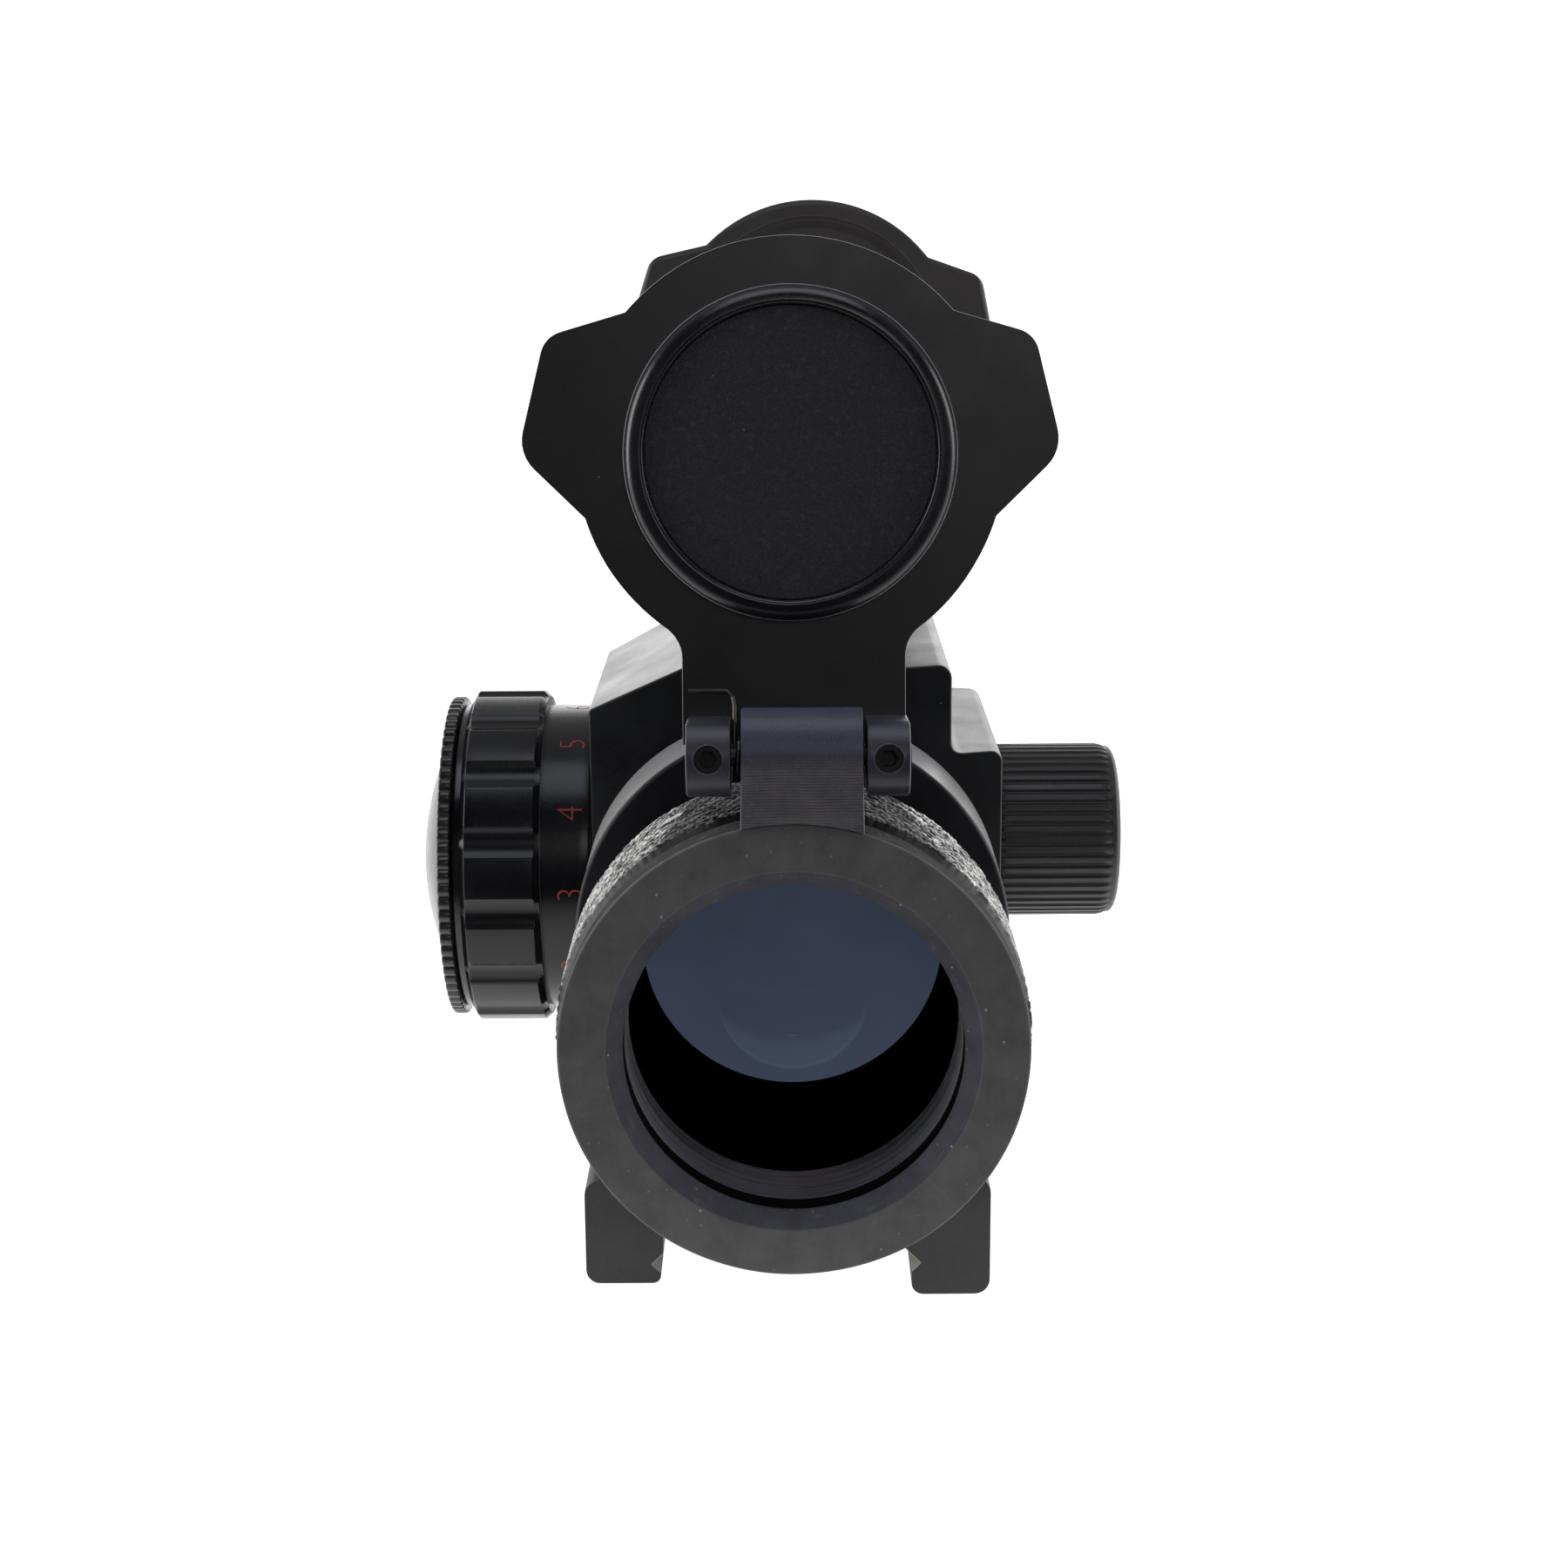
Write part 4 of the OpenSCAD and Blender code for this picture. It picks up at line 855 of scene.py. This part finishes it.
# ---------------------------------------------------------------- body
def build_body():
    collar = rounded([(0, 0), (COLLAR_R, 0, 0.4), (COLLAR_R, 2 * BODY_HALF, 0.4),
                      (0, 2 * BODY_HALF)], 4)
    tube = placed((0, -BODY_HALF, AXIS_H), (0, 1, 0), (1, 0, 0))
    obj = temp(lathe(collar, 256), tube)

    end_x = 6.5
    mid = HOUSING_HALF + TAPER * (LEFT_WALL - end_x)
    left = HOUSING_HALF - TAPER * 3
    right = HOUSING_HALF - TAPER * (LEFT_WALL + 3 - RIGHT_WALL)
    far = LEFT_WALL + 3
    plan = [(-far, left), (-end_x, mid), (end_x, mid), (far, right),
            (far, -right), (end_x, -mid), (-end_x, -mid), (-far, -left)]
    foot, wall_low = 9.6, 13
    shoulder, ridge_x = 42.85, -9.1
    step_x, shelf = 13.45, 39.15
    section = rounded([(-LEFT_WALL, wall_low, 1), (-LEFT_WALL, shoulder, 0.35),
                       (ridge_x, TOP_Z, 0.35), (step_x, TOP_Z, 1.2), (step_x, shelf, 1.0),
                       (RIGHT_WALL, shelf, 1.0), (RIGHT_WALL, wall_low, 1.0), (foot, 6),
                       (-foot, 6)], 8)
    block_size = 60
    block = temp(prism(section, block_size),
                 placed((0, block_size / 2, 0), (0, -1, 0), (1, 0, 0)))
    boolean(block, temp(prism(plan[::-1], block_size)), "INTERSECT")
    bm = to_bmesh(block)
    round_edges(bm, 0.22, 3, 24)
    boolean(obj, temp(bm))

    lip = RAIL_HALF - GROOVE_LIP
    low, high, out = 5.6, 4.8, 16.5
    jaw = rounded([(-foot, 0, 0.2), (RAIL_HALF - GROOVE, 0), (RAIL_HALF, -GROOVE, 0.05),
                   (lip, -GROOVE - GROOVE_LIP, 0.3), (lip, -low, 1.0), (out, -low, 1.3),
                   (out, high, 1.3), (foot, high, 0.8), (foot, wall_low), (-foot, wall_low)], 6)
    base = prism(jaw, 2 * BODY_HALF, 0.22, 3, 32)
    boolean(obj, temp(base, placed((0, BODY_HALF, 0), (0, -1, 0), (1, 0, 0))))

    boolean(obj, temp(lathe([(0, -1), (BORE_R, -1), (BORE_R, 2 * BODY_HALF + 1),
                             (0, 2 * BODY_HALF + 1)], 192), tube), "DIFFERENCE")
    for y in CLAMP_SCREW_Y:
        drill(obj, (-10.6, y, CLAMP_HOLE_Z), (1, 0, 0), 1.29, 15, 32)
    for y in CLAMP_GUIDE_Y:
        drill(obj, (-10.6, y, CLAMP_HOLE_Z), (1, 0, 0), 1.54, 9, 32)
    bushing_r, plunger_r = 5.02, 1.9
    for start, down, depth in (((0, 0, TOP_Z + 1), (0, 0, -1), 10),
                               ((RIGHT_WALL + 1, 0, WINDAGE_Z), (-1, 0, 0), 6)):
        drill(obj, start, down, bushing_r, 4.25)
        drill(obj, start, down, plunger_r, depth)
    bm = to_bmesh(obj)
    for f in bm.faces:
        c = f.calc_center_median()
        if math.hypot(c.x, c.z - AXIS_H) < BORE_R + 0.2:
            f.material_index = 2
        elif -3.5 < c.z < -1 and 9 < c.x < 11:  # the rail groove
            f.material_index = 4
        elif c.z < 5:
            f.material_index = 3
        elif abs(c.y) < mid + 0.1 and c.z > 12:
            f.material_index = 1
        # round faces of the collar: anodising with a painted sheen
        elif abs(math.hypot(f.normal.x, f.normal.z) - 1) < 0.01 and c.z > 12:  # round
            f.material_index = 5
    new_piece("body", bm, ONE, [BLACK, HOUSING, DEEP, JAW, RUBBED, COLLAR_PAINTED_SHEEN], "sight",
              ["body"], 14)


build_body()


def build_jaw():
    rail_half = RAIL_HALF + JAW_GAP
    face = RAIL_HALF - 1 + JAW_GAP
    lip = rail_half - GROOVE_LIP
    out = JAW_REACH + JAW_GAP
    low, high = 4.45, 4.8
    section = rounded([(-face, high, 0.6), (-face, 1 - GROOVE), (-rail_half, -GROOVE, 0.05),
                       (-lip, -GROOVE - GROOVE_LIP, 0.3), (-lip, -low, 0.7),
                       (-out, -low, 1.2), (-out, high, 1.3)], 6)
    at = placed((0, BODY_HALF, 0), (0, -1, 0), (1, 0, 0))
    obj = temp(prism(section[::-1], 2 * BODY_HALF, 0.22, 3, 32), at)
    for y in CLAMP_SCREW_Y:
        drill(obj, (-out - 1, y, CLAMP_HOLE_Z), (1, 0, 0), 1.29, 20, 40)
        drill(obj, (-out - 1, y, CLAMP_HOLE_Z), (1, 0, 0), 2.3, 3.6, 56)
    for y in CLAMP_GUIDE_Y:
        drill(obj, (-out + 2, y, CLAMP_HOLE_Z), (1, 0, 0), 1.52, 20, 32)
    bm = to_bmesh(obj)
    for f in bm.faces:
        c = f.calc_center_median()
        f.material_index = 1 if -3.5 < c.z < -1 and -rail_half - 0.2 < c.x < -face + 0.3 else 0
    new_piece("clamp_jaw", bm, ONE, [JAW, RUBBED], "jaw", ["clamp_jaw"], 24)


build_jaw()


# ---------------------------------------------------------------- barrels
def build_barrel(prefix, m, with_window):
    inner = END_Y - BODY_HALF + 6.9
    window_at = END_Y - BODY_HALF + 0.1
    smooth = CLEAR_R + 0.25
    start = BORE_STEP + 0.04
    spigot_r, spigot_at = 14.45, inner - 5.9
    outside = rounded([(smooth, start), (BARREL_R, start, 0.2), (BARREL_R, spigot_at),
                       (spigot_r, spigot_at, 0.3), (spigot_r, inner, 0.3)], 4, False)
    if with_window:
        inside = [(12.92, inner), (12.92, window_at), (12.2, window_at),
                  (12.2, window_at - 0.6), (smooth, window_at - 0.6)]
    else:
        inside = [(14.44, inner), (smooth, inner)]
    bm = lathe(dense(outside + inside, 1.5), 192)
    for f in bm.faces:
        c = f.calc_center_median()
        f.material_index = 1 if math.hypot(c.x, c.y) < 13.2 else 0
    new_piece(prefix + "_barrel", bm, m @ REAR_END, [BLACK, DEEP], "sight",
              [prefix + "_barrel"], 24)


build_barrel("rear", ONE, True)
build_barrel("front", FRONT, False)


# ---------------------------------------------------------------- brightness dial
FLUTES = 15
FLUTE_R = 2.1
FLUTE_DEPTH = 0.5
SCALE_END = 4.5
GRIP_END = 11.3
LIP_END = 12.0


def fluted(t, r, z):
    """The radius that the flutes leave at angle t, for a point at radius r."""
    if r < SCALE_R + 0.3 or not SCALE_END - 0.01 <= z <= GRIP_END + 0.01:
        return r
    step = TAU / FLUTES
    away = (t - math.radians(18.8) + step / 2) % step - step / 2
    centre = GRIP_R - FLUTE_DEPTH + FLUTE_R
    reach = FLUTE_R ** 2 - (centre * math.sin(away)) ** 2
    if reach <= 0:
        return r
    cut = centre * math.cos(away) - math.sqrt(reach)
    return min(r, cut)


def build_dial():
    grip = rounded([(SCALE_R, SCALE_END), (GRIP_R - 0.5, SCALE_END, 0.12),
                    (GRIP_R, SCALE_END + 0.5, 0.2), (GRIP_R, GRIP_END - 0.5, 0.2),
                    (13.9, GRIP_END, 0.15), (13.6, GRIP_END)], 4, False)
    outline = (rounded([(12.65, 0.3), (SCALE_R, 0.3, 0.1), (SCALE_R, SCALE_END)], 3, False)
               + grip[1:]
               + rounded([(13.6, GRIP_END), (13.6, LIP_END, 0.25), (12.25, LIP_END)],
                         4, False)[1:]
               + [(12.25, LIP_END - 1.8), (10.6, LIP_END - 1.8), (10.6, 6.4), (4.04, 6.4),
                  (4.04, 5.2), (12.65, 5.2)])
    bm = lathe(dense(outline, 0.9), FLUTES * 48, fluted)
    for f in bm.faces:
        z = f.calc_center_median().z
        f.material_index = 1 if z > GRIP_END + 0.02 else 0
    new_piece("dial", bm, LEFT, [DIAL_BLACK, GLOSS], "brightness", ["dial"], 22)


build_dial()


def build_digits():
    """Numbers around the dial. Their tops point away from the housing."""
    height = 2.18
    width = 0.92
    foot_x = LEFT_WALL + 0.84
    paint = 0.03
    step = 30
    five_at = 59.95
    for n in range(12):
        curve = bpy.data.curves.new(f"digit_{n}", "FONT")
        curve.body = str(n)
        curve.align_x = "CENTER"
        curve.size = 1.0
        curve.offset = -0.022
        curve.resolution_u = 6
        font = bpy.data.objects.new("digit", curve)
        bpy.context.scene.collection.objects.link(font)
        bpy.context.view_layer.update()
        mesh = bpy.data.meshes.new_from_object(
            font.evaluated_get(bpy.context.evaluated_depsgraph_get()))
        bpy.data.objects.remove(font)
        top = max(v.co.y for v in mesh.vertices)
        scale = height / top
        bm = bmesh.new()
        bm.from_mesh(mesh)
        bmesh.ops.subdivide_edges(bm, edges=bm.edges, cuts=1)
        flat = bm.faces[:]
        thick = bmesh.ops.extrude_face_region(bm, geom=flat)
        for v in [g for g in thick["geom"] if isinstance(g, bmesh.types.BMVert)]:
            v.co.z = -paint / scale
        bmesh.ops.recalc_face_normals(bm, faces=bm.faces)
        start = math.radians(five_at + step * (n - 5))
        for v in bm.verts:
            u, h, depth = v.co.x * scale * width, v.co.y * scale, v.co.z * scale
            angle = start + u / SCALE_R
            r = SCALE_R + 0.012 + depth
            v.co = Vector((-(foot_x + h), -r * math.cos(angle),
                           DIAL_Z + r * math.sin(angle)))
        new_piece(f"digit_{n}", bm, ONE, DIGIT, "brightness", ())


build_digits()


def build_battery_cap():
    rim0, rim1 = 12.1, 13.2
    teeth = 75
    rim_r = 14.26
    sphere = 23.7
    top = rim1 + 2.6
    dome = []
    for i in range(15):
        r = 10.8 * (1 - i / 14)
        dome.append((r, top - sphere + math.sqrt(sphere ** 2 - r * r)))
    outline = ([(10.6, LIP_END - 1.7), (12.2, LIP_END - 1.7), (12.2, LIP_END - 1.3),
                (11.3, LIP_END - 1.3), (11.3, LIP_END - 0.3), (12.2, LIP_END - 0.3),
                (12.2, rim0)]
               + rounded([(12.2, rim0), (rim_r, rim0, 0.18), (rim_r, rim1, 0.25), (11.4, rim1)],
                         4, False)[1:]
               + [(11.1, rim1 - 0.1)] + dome + [(0, 12.7), (9.6, 12.7), (9.6, 12.2), (10.6, 12.2)])

    def toothed(t, r, z):
        if r < rim_r - 0.3:
            return r
        shape = abs(math.sin(t * teeth / 2)) ** 0.8
        return r - 0.26 * (1 - shape)

    bm = lathe(dense(outline, 0.7), teeth * 8, toothed)
    new_piece("battery_cap", bm, LEFT, GLOSS_CAP, "cell_cover", ["battery_cap"], 35)


build_battery_cap()


# ---------------------------------------------------------------- turret caps
def build_turret_cap(name, body, m):
    ribs = 50
    core = CAP_R - 0.25
    end = CAP_H - 0.75
    outside = rounded([(6.7, 0.05), (CAP_R, 0.05, 0.25), (CAP_R, CAP_H, 1.2), (6.0, CAP_H + 0.02),
                       (0, CAP_H + 0.12)], 10, False)
    outline = outside + [(0, 8.0), (5.62, 8.0), (5.62, 1.15), (6.7, 1.15)]

    def ridge(t):
        return min(1, 0.8 + 0.8 * math.cos(ribs * t)) ** 1.3

    def ribbed(t, r, z):
        if r < CAP_R - 0.8 or z < 0.2:
            return r
        fade = min(1, max(0, (end - z) / 0.6)) * min(1, max(0, (z - 0.2) / 0.25))
        return min(r, core + (CAP_R - core) * ridge(t) * fade) if z < end else min(r, core)

    # 1 on the ribs, falling to 0 in their valleys, where the cap's colour is painted dark as shade
    def clean(t, r, z):
        return ridge(t) if r > CAP_R - 0.3 and 0.3 < z < end else 1.0

    bm = lathe(dense(outline, 0.45), ribs * 10, ribbed, clean)
    new_piece(name, bm, m, CAP, body, [name], 40)


build_turret_cap("elevation_cap", "elevation_cover", placed((0, 0, TOP_Z), (0, 0, 1), (1, 0, 0)))
build_turret_cap("windage_cap", "windage_cover",
                 placed((RIGHT_WALL, 0, WINDAGE_Z), (1, 0, 0), (0, 1, 0)))


# ---------------------------------------------------------------- carried-over CAD nodes
KEPT = {
    DARK_PIN: ["rear_hinge_pin", "front_hinge_pin"],
    STEEL: ["gimbal_ring", "gimbal_pins", "carrier_pins",
            "elevation_plunger", "windage_plunger", "dial_base_screws", "detent_ball",
            "dial_screw", "clamp_guides"],
    HINGE_WIRE: ["rear_hinge_spring", "front_hinge_spring"],
    SPRING: ["return_spring", "detent_spring"],
    BRASS: ["elevation_adjuster", "windage_adjuster", "elevation_bushing", "windage_bushing"],
    GOLD: ["wiper", "battery_contact"],
    CELL: ["battery"],
    DARK_SCREW: ["rear_hinge_grubs", "front_hinge_grubs", "clamp_screw_rear",
                 "clamp_screw_front"],
    DEEP: ["rear_window_ring", "optic_carrier", "objective_ring", "led_holder"],
    MOULDED: ["dial_base"],
    BOARD: ["contact_board"],
    LED: ["led_emitter"],
    WIRE: ["led_wires"],
    SEAL: ["elevation_seal", "windage_seal", "battery_seal"],
    WINDOW: ["rear_window"],
    LENS: ["objective_lens"],
}
for material, names in KEPT.items():
    for n in names:
        mesh = frame["nodes"][n].data
        mesh.materials.clear()
        mesh.materials.append(material)


# ---------------------------------------------------------------- studio
def build_floor():
    """A plain pale floor. Shiny surfaces see it fade to dark in front of the object."""
    low = jaw_lo.z - 2.0
    bm = bmesh.new()
    bmesh.ops.create_grid(bm, x_segments=1, y_segments=1, size=6000)
    bmesh.ops.translate(bm, verts=bm.verts, vec=(0, 0, low))
    bmesh.ops.scale(bm, vec=(MM, MM, MM), verts=bm.verts)
    mesh = bpy.data.meshes.new("floor")
    bm.to_mesh(mesh)
    bm.free()
    floor = bpy.data.objects.new("floor", mesh)
    bpy.context.scene.collection.objects.link(floor)
    s = Shader("pale_floor", Roughness=0.9)
    s.bsdf.inputs["Base Color"].default_value = (0.88, 0.88, 0.88, 1)
    out = s.nodes["Material Output"]
    glow = s.node("Emission", {"Color": (1, 1, 1, 1), "Strength": 1.0})
    lit = s.node("AddShader", {0: s.bsdf.outputs[0], 1: glow.outputs[0]})
    dark = s.node("Emission", {"Color": (0.03, 0.03, 0.035, 1), "Strength": 1})
    y = s.node("SeparateXYZ", {0: s.coord}).outputs["Y"]
    front = s.ramp(y, -40 * MM, -110 * MM)
    seen = s.node("LightPath").outputs["Is Camera Ray"]
    factor = s.math("MULTIPLY", front, s.math("SUBTRACT", 1, seen))
    mixed = s.node("MixShader", {0: factor, 1: lit.outputs[0], 2: dark.outputs[0]})
    s.links.new(mixed.outputs[0], out.inputs[0])
    mesh.materials.append(s.material)


build_floor()


def build_world():
    """White for the camera. Reflections see a bright backdrop low down ahead and a dim room."""
    world = bpy.data.worlds.new("studio")
    bpy.context.scene.world = world
    world.use_nodes = True
    nodes = world.node_tree.nodes
    links = world.node_tree.links
    background = nodes["Background"]
    coord = nodes.new("ShaderNodeTexCoord")
    split = nodes.new("ShaderNodeSeparateXYZ")
    links.new(coord.outputs["Generated"], split.inputs[0])
    ahead = nodes.new("ShaderNodeMapRange")
    for i, value in enumerate((-0.25, 0.35, 0.07, 2.2)):
        ahead.inputs[i + 1].default_value = value
    links.new(split.outputs["Y"], ahead.inputs[0])
    low = nodes.new("ShaderNodeMapRange")
    for i, value in enumerate((0.3, 0.55, 1.0, 0.2)):
        low.inputs[i + 1].default_value = value
    links.new(split.outputs["Z"], low.inputs[0])
    both = nodes.new("ShaderNodeMath")
    both.operation = "MULTIPLY"
    links.new(ahead.outputs[0], both.inputs[0])
    links.new(low.outputs[0], both.inputs[1])
    path = nodes.new("ShaderNodeLightPath")
    pick = nodes.new("ShaderNodeMix")
    links.new(path.outputs["Is Camera Ray"], pick.inputs[0])
    links.new(both.outputs[0], pick.inputs[2])
    pick.inputs[3].default_value = 1.05
    links.new(pick.outputs[0], background.inputs["Strength"])
    background.inputs["Color"].default_value = (1, 1, 1, 1)


build_world()


def area_light(name, at, target, size, power, colour=(1, 1, 1)):
    light = bpy.data.lights.new(name, "AREA")
    light.shape = "RECTANGLE"
    light.size, light.size_y = size[0] * MM, size[1] * MM
    light.energy = power
    light.color = colour
    obj = bpy.data.objects.new(name, light)
    bpy.context.scene.collection.objects.link(obj)
    obj.location = Vector(at) * MM
    aim = (Vector(target) - Vector(at)).to_track_quat("-Z", "Y")
    obj.rotation_mode = "QUATERNION"
    obj.rotation_quaternion = aim
    return obj


TARGET = (0, 0, AXIS_H + 15)
area_light("top_softbox", (0, -120, 420), TARGET, (320, 200), 0.42, (0.82, 0.87, 1.0))
area_light("left_softbox", (-420, -60, 160), TARGET, (120, 300), 0.7)
area_light("right_softbox", (420, -40, 160), TARGET, (120, 300), 0.45)
area_light("camera_fill", (60, -520, 240), TARGET, (160, 160), 0.185)

camera_data = bpy.data.cameras.new("camera")
camera_data.lens = 60.57
camera_data.sensor_width = 36
camera_data.clip_start = 0.005
camera = bpy.data.objects.new("camera", camera_data)
bpy.context.scene.collection.objects.link(camera)
bpy.context.scene.camera = camera
PITCH, YAW, ROLL = (math.radians(a) for a in (13.49, -0.03, -0.37))
camera.matrix_world = (Matrix.Translation(Vector((-0.50, -230.1, 88.4)) * MM)
                       @ Matrix.Rotation(-YAW, 4, "Z")
                       @ Matrix.Rotation(math.pi / 2 - PITCH, 4, "X")
                       @ Matrix.Rotation(ROLL, 4, "Z"))
bpy.context.scene.view_settings.view_transform = "Standard"

bpy.context.view_layer.update()
